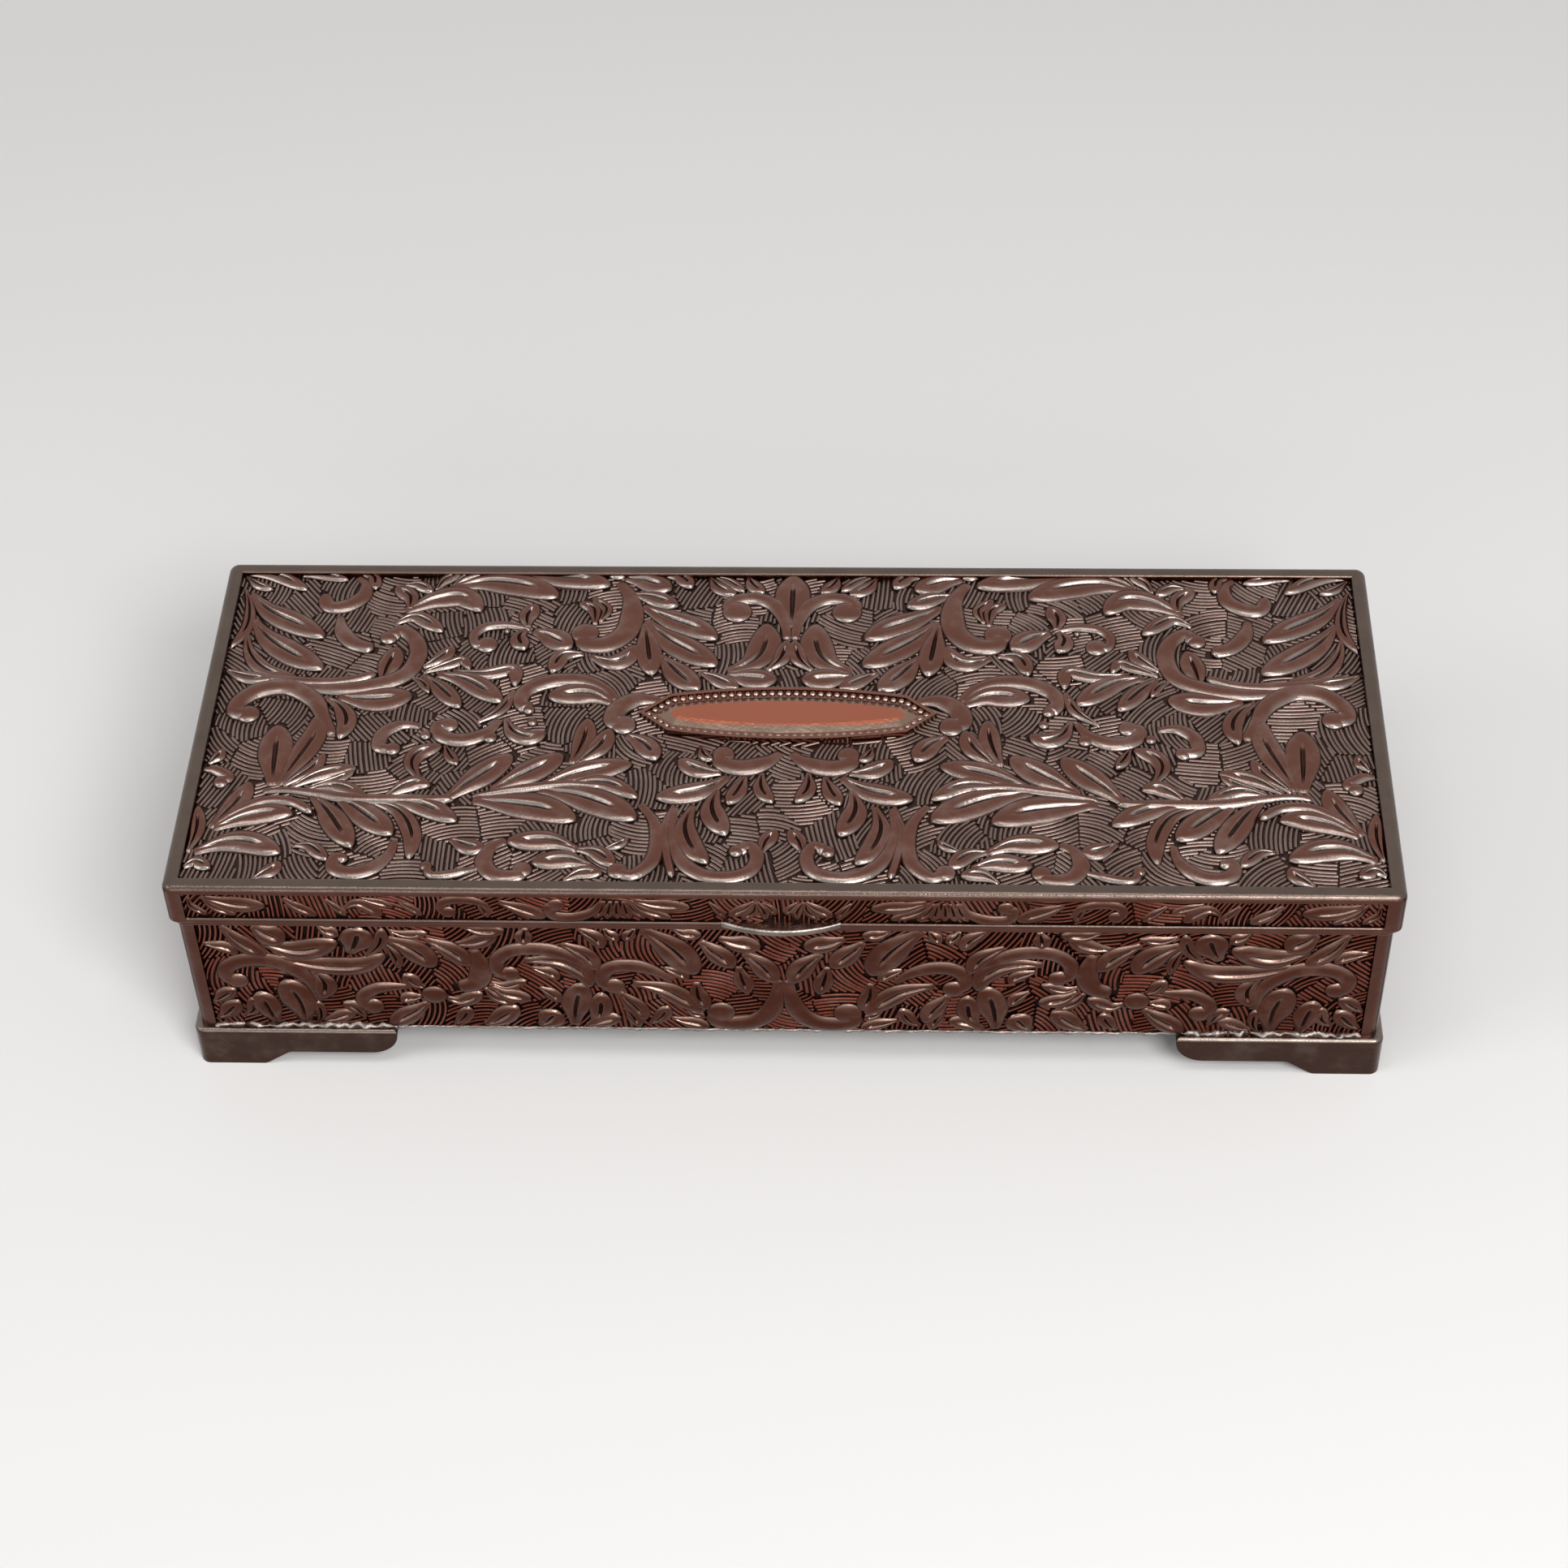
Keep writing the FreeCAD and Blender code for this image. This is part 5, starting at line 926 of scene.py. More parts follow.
@dataclass(frozen=True)
class Hatching:
    """The fine parallel ridges that fill the ground between the leaves, in patches, in millimetres.

    The shares are of a patch's size: how far its lines are drawn from its middle before they are cut, and
    how near another patch or the carving has to be to matter to it.
    """

    pitch: float = 0.92
    ridge_radius: float = 0.43
    ridge_sides: int = 5
    sunk: float = -0.06
    patch: float = 9.0
    seed_range: Point = (0.12, 0.88)
    drawn_share: float = 1.3
    near_share: float = 2.6
    hiding_share: float = 2.4
    step: float = 0.35
    keep_every: int = 4
    bend: float = 0.055
    wander: float = 0.1
    tolerance: float = 1e-6
    seed: int = 7

    def middles(self, ground: Ground, rng: np.random.Generator) -> np.ndarray:
        """The middles of the patches of one ground, each at random in its own cell of a grid."""
        tall = ground.high - ground.low
        across = max(1, round(2 * ground.half_run / self.patch))
        up = max(1, round(tall / self.patch))
        cell = np.array([2 * ground.half_run / across, tall / up])
        cells = np.meshgrid(np.arange(across), np.arange(up), indexing="ij")
        grid = np.stack(cells, axis=-1).reshape(-1, 2)
        return (grid + rng.uniform(*self.seed_range, grid.shape)) * cell + [-ground.half_run, ground.low]

    def drawn(self, middle: np.ndarray, rng: np.random.Generator) -> Iterator[np.ndarray]:
        """The bent parallel lines of the patch round a middle, before they are cut."""
        angle = rng.uniform(0, math.pi)
        bend = rng.uniform(-self.bend, self.bend)
        direction = np.array([math.cos(angle), math.sin(angle)])
        aside = np.array([-direction[1], direction[0]])
        half = self.patch * self.drawn_share
        reach = np.arange(-half, half, self.step)
        for offset in np.arange(-half, half, self.pitch):
            shift = offset + bend * reach ** 2 + rng.uniform(-self.wander, self.wander)
            yield middle + direction * reach[:, None] + aside * shift[:, None]

    def runs(self, line: np.ndarray, kept: np.ndarray) -> Iterator[np.ndarray]:
        """The unbroken runs of a line, each with every few of its places and its last one."""
        edges = np.flatnonzero(np.diff(np.concatenate([[0], kept.astype(int), [0]])))
        for start, end in zip(edges[::2], edges[1::2]):
            if end - start > 2:
                yield line[sorted({*range(start, end - 2, self.keep_every), end - 1})]

    def lines(self, ground: Ground, rng: np.random.Generator) -> list[np.ndarray]:
        """Lays out the ridges of one ground.

        Args:
            ground: The ground that they fill.
            rng: Where the random numbers come from.

        Returns:
            The ridges' middle lines.
        """
        middles = self.middles(ground, rng)
        covered = ground.pattern.covered()
        found: list[np.ndarray] = []
        for middle in middles:
            near = middles[np.linalg.norm(middles - middle, axis=1) < self.patch * self.near_share]
            far = np.linalg.norm(covered[:, :2] - middle, axis=1)
            hiding = covered[far < self.patch * self.hiding_share]
            for line in self.drawn(middle, rng):
                gaps = np.linalg.norm(line[:, None] - near[None], axis=2)
                kept = np.linalg.norm(line - middle, axis=1) <= gaps.min(axis=1) + self.tolerance
                kept &= np.abs(line[:, 0]) < ground.half_run
                kept &= (line[:, 1] > ground.low) & (line[:, 1] < ground.high)
                if len(hiding):
                    apart = np.linalg.norm(line[:, None] - hiding[None, :, :2], axis=2) - hiding[None, :, 2]
                    kept &= apart.min(axis=1) > 0
                found += self.runs(line, kept)
        return found

    def build(self, name: str, grounds: Sequence[Ground], finish: Any) -> bpy.types.Object:
        """Makes the ridges of several grounds as one piece.

        Args:
            name: The piece's name.
            grounds: The grounds that they fill.
            finish: The material.

        Returns:
            The piece.
        """
        rng = np.random.default_rng(self.seed)
        places, edges, count = [], [], 0
        for ground in grounds:
            for line in self.lines(ground, rng):
                places.append(ground.panel.place(line, np.full(len(line), self.sunk)))
                edges += [(count + n, count + n + 1) for n in range(len(line) - 1)]
                count += len(line)
        made = new_piece(name, np.vstack(places), edges)
        run_tree(made, ridge_tree(), {
            "Radius": self.ridge_radius * MM, "Sides": self.ridge_sides, "Finish": finish,
        })
        self.mark_heights(made.data, [ground.panel for ground in grounds])
        return made

    def mark_heights(self, mesh: bpy.types.Mesh, panels: Sequence[Panel]) -> None:
        """Keeps how far up its ridge each place is, from 0 at the ground to 1."""
        places = np.empty(len(mesh.vertices) * 3, dtype=np.float32)
        mesh.vertices.foreach_get("co", places)
        raised = np.zeros(len(mesh.vertices))
        for panel in panels:
            height = panel.measure(places.reshape(-1, 3))[:, 2]
            near = np.abs(height) < self.ridge_radius * 2
            raised = np.where(near, np.maximum(raised, height / (self.ridge_radius + self.sunk)), raised)
        keep_heights(mesh, np.clip(raised, 0, 1))


@dataclass(frozen=True)
class TarnishAndPaintedLight:
    """The shared effect that colours cast metal by how raised and how flat it is: dark patina with painted
    shade low down, a painted highlight off the flat, and on the flat a face colour that carries a painted
    reflection, with random dark patches over all.

    Scales are in cells to a metre and depths in metres. A range is the two values that an effect comes in
    between.
    """

    cloud_scale: float = 170.0
    cloud_depth: float = 0.0006
    cloud_strength: float = 0.3
    grain_scale: float = 1500.0
    grain_depth: float = 0.0002
    grain_lift: float = 0.35
    patch_range: Point = (0.32, 0.68)
    patch_roughness: float = 0.07
    thin_range: Point = (0.2, 0.55)
    thinnest: float = 0.72
    dulled_share: float = 0.6
    hollow_range: Point = (0.12, 0.62)
    worn_range: Point = (0.1, 0.8)
    roughest: float = 0.5
    smoothest: float = 0.2

    def build(self) -> Any:
        """Makes the shader group."""
        w = Wiring.group("tarnish_and_painted_light", "ShaderNodeTree", {
            "Raised": ("NodeSocketFloat", 1.0), "Flat": ("NodeSocketFloat", 1.0),
            "Hollow Colour": ("NodeSocketColor", None), "Flank Colour": ("NodeSocketColor", None),
            "Face Colour": ("NodeSocketColor", None), "Mottle": ("NodeSocketFloat", 0.5),
            "Grain": ("NodeSocketFloat", 0.22),
        }, {"Colour": "NodeSocketColor", "Roughness": "NodeSocketFloat", "Normal": "NodeSocketVector"})
        place = w.place
        cloudy = w.noise(place, self.cloud_scale, Detail=4.0, Roughness=0.6)
        fine = w.noise(place, self.grain_scale, Detail=3.0, Roughness=0.65)
        patchy = w.ramp(cloudy, *self.patch_range)
        flat = w.maths("MULTIPLY", w.entry["Flat"], w.ramp(cloudy, *self.thin_range, self.thinnest, 1.0))
        # Off the flat the flank colour stands as a painted highlight, and on the flat the face colour as
        # dark metal with a painted reflection.
        metal = w.blend(flat, w.entry["Flank Colour"], w.entry["Face Colour"])
        dulled = w.maths("MULTIPLY", patchy, w.entry["Mottle"])
        shaded = w.blend(dulled, metal, w.entry["Hollow Colour"], "MULTIPLY")
        mixed = w.blend(w.maths("MULTIPLY", w.entry["Mottle"], self.dulled_share), metal, shaded)
        lift = w.maths("SUBTRACT", fine, 0.5)
        raised = w.maths("MULTIPLY_ADD", lift, self.grain_lift, w.entry["Raised"])
        # Low places take the hollow colour: dark patina with painted shade in creases and between ridges.
        colour = w.blend(w.ramp(raised, *self.hollow_range), w.entry["Hollow Colour"], mixed)
        worn = w.ramp(raised, *self.worn_range, self.roughest, self.smoothest)
        rough = w.maths("ADD", worn, w.maths("MULTIPLY", patchy, self.patch_roughness))
        bump = w.node("ShaderNodeBump", Strength=w.entry["Grain"], Distance=self.grain_depth, Height=fine)
        broad = w.node(
            "ShaderNodeBump", Strength=self.cloud_strength, Distance=self.cloud_depth, Height=cloudy,
            Normal=bump.outputs[0],
        )
        for name, value in (("Colour", colour), ("Roughness", rough), ("Normal", broad.outputs[0])):
            w.feed(w.result[name], value)
        return w.tree


class Mask(Enum):
    """Where a metal finish reads how raised and how flat a place is.

    CARVED reads the carving's heights and the way that its painted highlight faces, GROUND the ridges'
    heights, PLAIN how nearly a place faces along an axis, so that tilted edges take a painted highlight,
    and LEDGE how nearly it faces up, so that up-facing places take one; the mask for a lit side reads only
    the way that its painted highlight faces. WHOLE is the same all over.
    """

    CARVED = "carved"
    GROUND = "ground"
    LIT_SIDE = "rubbed"
    PLAIN = "plain"
    LEDGE = "ledge"
    WHOLE = "whole"


@dataclass(frozen=True)
class CastMetal:
    """Antiqued silver plate: dark patina and painted shade in the hollows, faces whose brown is a painted
    reflection over the dark metal, and painted highlights on its flanks and edges.

    Attributes:
        name: The material's name.
        mask: Where it reads how raised and how flat a place is.
        hollow: The colour of its hollows: dark patina with painted shade.
        flank: The colour of its flanks, edges and up-facing ledges, a painted highlight.
        face: The colour of its faces; their darkness is the metal's own, and where they are brown, the
            brown is a painted reflection.
        mottle: How cloudy its colours are.
        coat: How much clear lacquer is on it.
        coat_roughness: How rough the lacquer is.
        grain: How strong its fine grain is.
        raised: How raised it is where no height is read.
        hollows: Where sunk fields end along each axis, in millimetres from the middle.
        hollow_rise: How far past that it is fully raised, in millimetres.
        crown_range: How far up the carving it comes out of the dark patina and painted shade.
        crest_from: How high on a ground ridge its bright crest begins.
        crest_range: How raised the ridges are read at their foot and at their top.
        level_from: How nearly a place has to face along an axis to begin to be a face.
        level_to: How nearly it has to face along one to be fully a face.
        ledge_range: How nearly it has to face up to take the painted highlight.
        rubbed: The way that its painted highlight faces.
        near_range: How nearly it has to face that way to take the painted highlight.
        far_range: How nearly it still has to face that way to be no far side.
        rubbed_behind: How much painted highlight its steep far side takes too.
        oval: Half the length, half the width and the middle along y of its polished oval, in millimetres;
            inside it the face colour is a painted reflection.
        oval_squareness: The oval's power, which is 2 in an ellipse.
        border: The colour round the oval.
        border_range: How far out, as a share of the oval, its border comes in on faces.
        flank_range: How far out its flanks are seen.
    """

    name: str
    mask: Mask
    hollow: Colour = (0.024, 0.0085, 0.0055)
    flank: Colour = (0.25, 0.212, 0.19)
    face: Colour = (0.132, 0.05, 0.033)
    mottle: float = 0.5
    coat: float = 0.25
    coat_roughness: float = 0.15
    grain: float = 0.22
    raised: float = 1.0
    hollows: tuple[float, ...] = ()
    hollow_rise: float = 0.5
    crown_range: Point = (0.2, 0.78)
    crest_from: float = 0.0
    crest_range: Point = (0.08, 0.75)
    level_from: float = 0.86
    level_to: float = 0.985
    ledge_range: Point = (0.15, 0.75)
    # Flanks that face this way take the flank colour as a painted highlight.
    rubbed: tuple[float, float, float] = (0.0, -1.0, 0.0)
    near_range: Point = (0.16, 0.66)
    far_range: Point = (-0.9, -0.4)
    rubbed_behind: float = 1.0
    oval: tuple[float, float, float] | None = None
    oval_squareness: float = 2.7
    border: Colour = (0.11, 0.052, 0.038)
    border_range: Point = (0.9, 1.0)
    flank_range: Point = (0.86, 0.92)

    def build(self, group: Any) -> Any:
        """Makes the material around the shared group."""
        made = bpy.data.materials.new(self.name)
        w = Wiring.holder(made)
        shader = w.node(
            "ShaderNodeBsdfPrincipled", Metallic=1.0, Coat_Weight=self.coat,
            Coat_Roughness=self.coat_roughness,
        )
        tarnish_and_painted_light = w.node(
            "ShaderNodeGroup", {"node_tree": group}, Raised=self.raised, Mottle=self.mottle,
            Grain=self.grain, Hollow_Colour=self.hollow, Flank_Colour=self.flank, Face_Colour=self.face,
        )
        for socket, value in self.masks(w):
            w.feed(tarnish_and_painted_light.inputs[socket], value)
        for socket, output in (("Base Color", "Colour"), ("Roughness", "Roughness"), ("Normal", "Normal")):
            w.feed(shader.inputs[socket], tarnish_and_painted_light.outputs[output])
        w.node("ShaderNodeOutputMaterial", Surface=shader.outputs[0])
        return made

    def masks(self, w: Wiring) -> Iterator[tuple[str, Any]]:
        """The group's inputs that change over the surface, each with what goes into it."""
        if self.hollows:
            yield "Raised", self.out_of_hollows(w)
        if self.oval:
            apart = self.out_of_oval(w)
            yield "Face Colour", w.blend(w.ramp(apart, *self.border_range), self.face, self.border)
            yield "Flank Colour", w.blend(w.ramp(apart, *self.flank_range), self.face, self.flank)
        if self.mask is Mask.GROUND:
            yield "Raised", w.ramp(w.raised, self.crest_from, 1.0, *self.crest_range)
        if self.mask is Mask.CARVED:
            yield "Raised", w.ramp(w.raised, *self.crown_range)
        # Places facing the lit side, and steep far sides where set, take the flank colour as a painted
        # highlight.
        if self.mask in (Mask.CARVED, Mask.LIT_SIDE):
            yield "Flat", w.maths("SUBTRACT", 1.0, self.painted_highlight_share(w))
        if self.mask is Mask.PLAIN:
            sizes = [w.maths("ABSOLUTE", part) for part in w.parts(w.normal)]
            # Tilted places take the flank colour as a painted highlight on edges.
            yield "Flat", w.ramp(w.largest(sizes), self.level_from, self.level_to)
        if self.mask is Mask.LEDGE:
            # Up-facing places take the flank colour as a painted highlight.
            yield "Flat", w.ramp(w.parts(w.normal)["Z"], *self.ledge_range, 1.0, 0.0)

    def out_of_hollows(self, w: Wiring) -> Any:
        """How far out of the sunk fields a place is, from 0 to 1."""
        return w.largest([
            w.ramp(w.maths("ABSOLUTE", part), edge * MM, (edge + self.hollow_rise) * MM)
            for part, edge in zip(w.parts(w.place), self.hollows)
        ])

    def out_of_oval(self, w: Wiring) -> Any:
        """How far from the oval's middle a place is, from 0 to 1 at its edge."""
        half_long, half_wide, middle = self.oval
        centred = w.node(
            "ShaderNodeMapping", Vector=w.place, Location=(0, -middle / half_wide, 0),
            Scale=(1 / half_long / MM, 1 / half_wide / MM, 0),
        )
        parts = w.parts(centred.outputs[0])
        powers = [w.maths("POWER", w.maths("ABSOLUTE", parts[n]), self.oval_squareness) for n in range(2)]
        return w.maths("POWER", w.maths("ADD", *powers), 1 / self.oval_squareness)

    def painted_highlight_share(self, w: Wiring) -> Any:
        """How much painted highlight a place takes, on its near side and on its steep far side."""
        towards = w.node("ShaderNodeVectorMath", {"operation": "DOT_PRODUCT"}, i0=w.normal, i1=self.rubbed)
        near_side = w.ramp(towards.outputs["Value"], *self.near_range)
        far_side = w.ramp(towards.outputs["Value"], *self.far_range, self.rubbed_behind, 0.0)
        return w.maths("MAXIMUM", near_side, far_side)


@dataclass(frozen=True)
class Cloth:
    """A short-piled cloth such as velvet or felt, or a plain board, with scales in cells to a metre."""

    name: str
    colour: Colour
    shade: Colour
    sheen: float
    pile_scale: float
    pile_share: float = 0.3
    pile_depth: float = 0.0003
    pile_strength: float = 0.5
    brushed_scale: float = 45.0
    brushed_share: float = 0.7
    shade_range: Point = (0.34, 0.66)
    roughness: float = 0.92
    sheen_roughness: float = 0.4

    def build(self) -> Any:
        """Makes the material."""
        made = bpy.data.materials.new(self.name)
        w = Wiring.holder(made)
        shader = w.node(
            "ShaderNodeBsdfPrincipled", Roughness=self.roughness, Sheen_Weight=self.sheen,
            Sheen_Roughness=self.sheen_roughness,
        )
        place = w.place
        pile = w.noise(place, self.pile_scale, Detail=3.0)
        brushed = w.noise(place, self.brushed_scale, Detail=4.0, Distortion=0.6)
        tufts = w.maths("MULTIPLY", pile, self.pile_share)
        worn = w.ramp(w.maths("MULTIPLY_ADD", brushed, self.brushed_share, tufts), *self.shade_range)
        w.feed(shader.inputs["Base Color"], w.blend(worn, self.shade, self.colour))
        bump = w.node("ShaderNodeBump", Strength=self.pile_strength, Distance=self.pile_depth, Height=pile)
        w.feed(shader.inputs["Normal"], bump.outputs[0])
        w.node("ShaderNodeOutputMaterial", Surface=shader.outputs[0])
        return made


@dataclass(frozen=True)
class Finishes:
    """Every material of the box."""

    carved: Any
    ground: Any
    wall_carved: Any
    wall_ground: Any
    rough: Any
    foot: Any
    lip: Any
    lid_cast: Any
    body_cast: Any
    plate: Any
    beads: Any
    hinge: Any
    velvet: Any
    felt: Any
    card: Any

    @classmethod
    def build(cls) -> "Finishes":
        """Makes all the materials."""
        group = TarnishAndPaintedLight().build()

        def metal(name: str, mask: Mask, **values: Any) -> Any:
            """One metal finish of the box."""
            return CastMetal(name, mask, **values).build(group)

        walls = {"hollow": (0.011, 0.0022, 0.0012), "coat": 0.05}
        # Bands: their brown is a painted reflection over the dark metal, and their up-facing edges take a
        # grey painted highlight.
        bands = {"flank": (0.11, 0.08, 0.066), "face": (0.095, 0.034, 0.022), "coat": 0.1}
        return cls(
            # Lid carving: faces whose brown is a painted reflection, and front-facing and steep rear flanks
            # with a painted highlight.
            carved=metal("carved_silver", Mask.CARVED),
            ground=metal("hatched_silver", Mask.GROUND, face=(0.18, 0.118, 0.098), mottle=0.6),
            # Wall carving: faces whose red-brown is a painted reflection, and up-facing flanks with a
            # painted highlight.
            wall_carved=metal(
                "wall_carved_silver", Mask.CARVED, **walls, flank=(0.235, 0.15, 0.12),
                face=(0.084, 0.026, 0.0155), rubbed=(0.0, 0.0, 1.0), rubbed_behind=0.0,
            ),
            # Wall ridges: their red is a painted reflection over the dark metal.
            wall_ground=metal(
                "wall_hatched_silver", Mask.GROUND, **walls, face=(0.2, 0.05, 0.029), mottle=0.6,
                crest_from=0.45,
            ),
            rough=metal(
                "rough_silver", Mask.WHOLE, face=(0.3, 0.26, 0.235), mottle=0.8, grain=1.0, raised=0.5
            ),
            # Feet: up-facing ledges with a painted highlight; the brown of the rest is a painted
            # reflection.
            foot=metal(
                "foot_silver", Mask.LEDGE, flank=(0.17, 0.135, 0.115), face=(0.056, 0.026, 0.018), coat=0.1
            ),
            # Thumb lip: its up-facing face is lightened as a painted highlight.
            lip=metal(
                "lip_silver", Mask.LEDGE, flank=(0.34, 0.3, 0.27), face=(0.2, 0.16, 0.14), mottle=0.9,
                grain=0.6,
            ),
            lid_cast=metal("lid_silver", Mask.LEDGE, **bands, hollows=(113.7, 43.8, 49.9)),
            body_cast=metal("body_silver", Mask.LEDGE, **bands, hollows=(112.5, 42.6, 40.4)),
            # Name plate: the orange field in the oval is a painted reflection, and its pale tilted bevel a
            # painted highlight.
            plate=metal(
                "polished_silver", Mask.PLAIN, flank=(0.2, 0.135, 0.1), face=(0.33, 0.102, 0.057),
                mottle=0.25, level_from=0.955, oval=(25.3, 3.7, 2.3), border=(0.17, 0.072, 0.05),
            ),
            # Beads: their front-facing sides take a painted highlight.
            beads=metal("bead_silver", Mask.LIT_SIDE, flank=(0.44, 0.38, 0.34), face=(0.22, 0.11, 0.08)),
            hinge=metal("hinge_silver", Mask.PLAIN, face=(0.24, 0.2, 0.18), mottle=0.4),
            velvet=Cloth("red_velvet", (0.2, 0.008, 0.02), (0.07, 0.002, 0.008), 0.6, 2600.0).build(),
            felt=Cloth("black_felt", (0.02, 0.02, 0.022), (0.008, 0.008, 0.009), 0.25, 1400.0).build(),
            card=Cloth("grey_board", (0.36, 0.31, 0.25), (0.26, 0.22, 0.18), 0.0, 900.0).build(),
        )


def paint(names: Iterable[str], nodes: dict[str, Any], finish: Any) -> None:
    """Gives carried-over pieces a better material."""
    for name in names:
        for holder in nodes[name].material_slots:
            holder.material = finish


def settle(piece: bpy.types.Object, body: Body, finish: Any = None) -> bpy.types.Object:
    """Puts a finished piece on its body and reports it.

    Args:
        piece: The piece.
        body: The body that it rides on.
        finish: Its material, where it has none yet.

    Returns:
        The same piece.
    """
    if finish is not None:
        piece.data.materials.clear()
        piece.data.materials.append(finish)
    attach(piece, body.value)
    LOG.info("%s rides on %s with %d faces", piece.name, body.value, len(piece.data.polygons))
    return piece


def side_panels(x: float, y: float, half_long: float, half_short: float) -> list[tuple[Panel, float]]:
    """The four upright fields round a box, each with half its length.

    Args:
        x: How far out the left and right fields stand.
        y: How far out the front and rear fields stand.
        half_long: Half the length of the front and rear fields.
        half_short: Half the length of the left and right fields.

    Returns:
        The fields in the order front, rear, left, right.
    """
    sides = (
        ((0, -1, 0), y, half_long), ((0, 1, 0), y, half_long),
        ((-1, 0, 0), x, half_short), ((1, 0, 0), x, half_short),
    )
    return [(Panel(Vector(outward) * distance * MM, outward), half) for outward, distance, half in sides]


def ground_sheet(
    name: str, node: str, panel: Panel, finish: Any, body: Body, notches: Sequence[tuple[float, ...]] = ()
) -> None:
    """Makes the plain ground of a carved panel, which the ridges and the leaves stand on.

    Args:
        name: The sheet's name.
        node: The panel's node, whose outline and thickness it has.
        panel: The field that it lies in.
        finish: Its material.
        body: The body that it rides on.
        notches: Each opening in its upper edge, from left to right: its start, its end and its floor.
    """
    corners = panel.measure(np.array([tuple(corner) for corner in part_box(node)]))
    (left, bottom, inner), (right, top, _) = corners.min(axis=0), corners.max(axis=0)
    outline = [(left, bottom), (right, bottom), (right, top)]
    for start, end, level in reversed(notches):
        outline += [(end, top), (end, level), (start, level), (start, top)]
    flat = np.array([*outline, (left, top)])
    count = len(flat)
    places = [panel.place(flat, np.full(count, height)) for height in (0.0, inner)]
    following = [(n + 1) % count for n in range(count)]
    walls = [(n, n + count, following[n] + count, following[n]) for n in range(count)]
    covers = [tuple(range(count)), tuple(range(2 * count - 1, count - 1, -1))]
    made = new_piece(name, np.vstack(places), faces=[*covers, *walls])
    # The whole sheet counts as lowest, so it takes the hollow colour: dark patina with painted shade.
    keep_heights(made.data, np.zeros(2 * count))
    settle(made, body, finish)
    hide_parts(node)


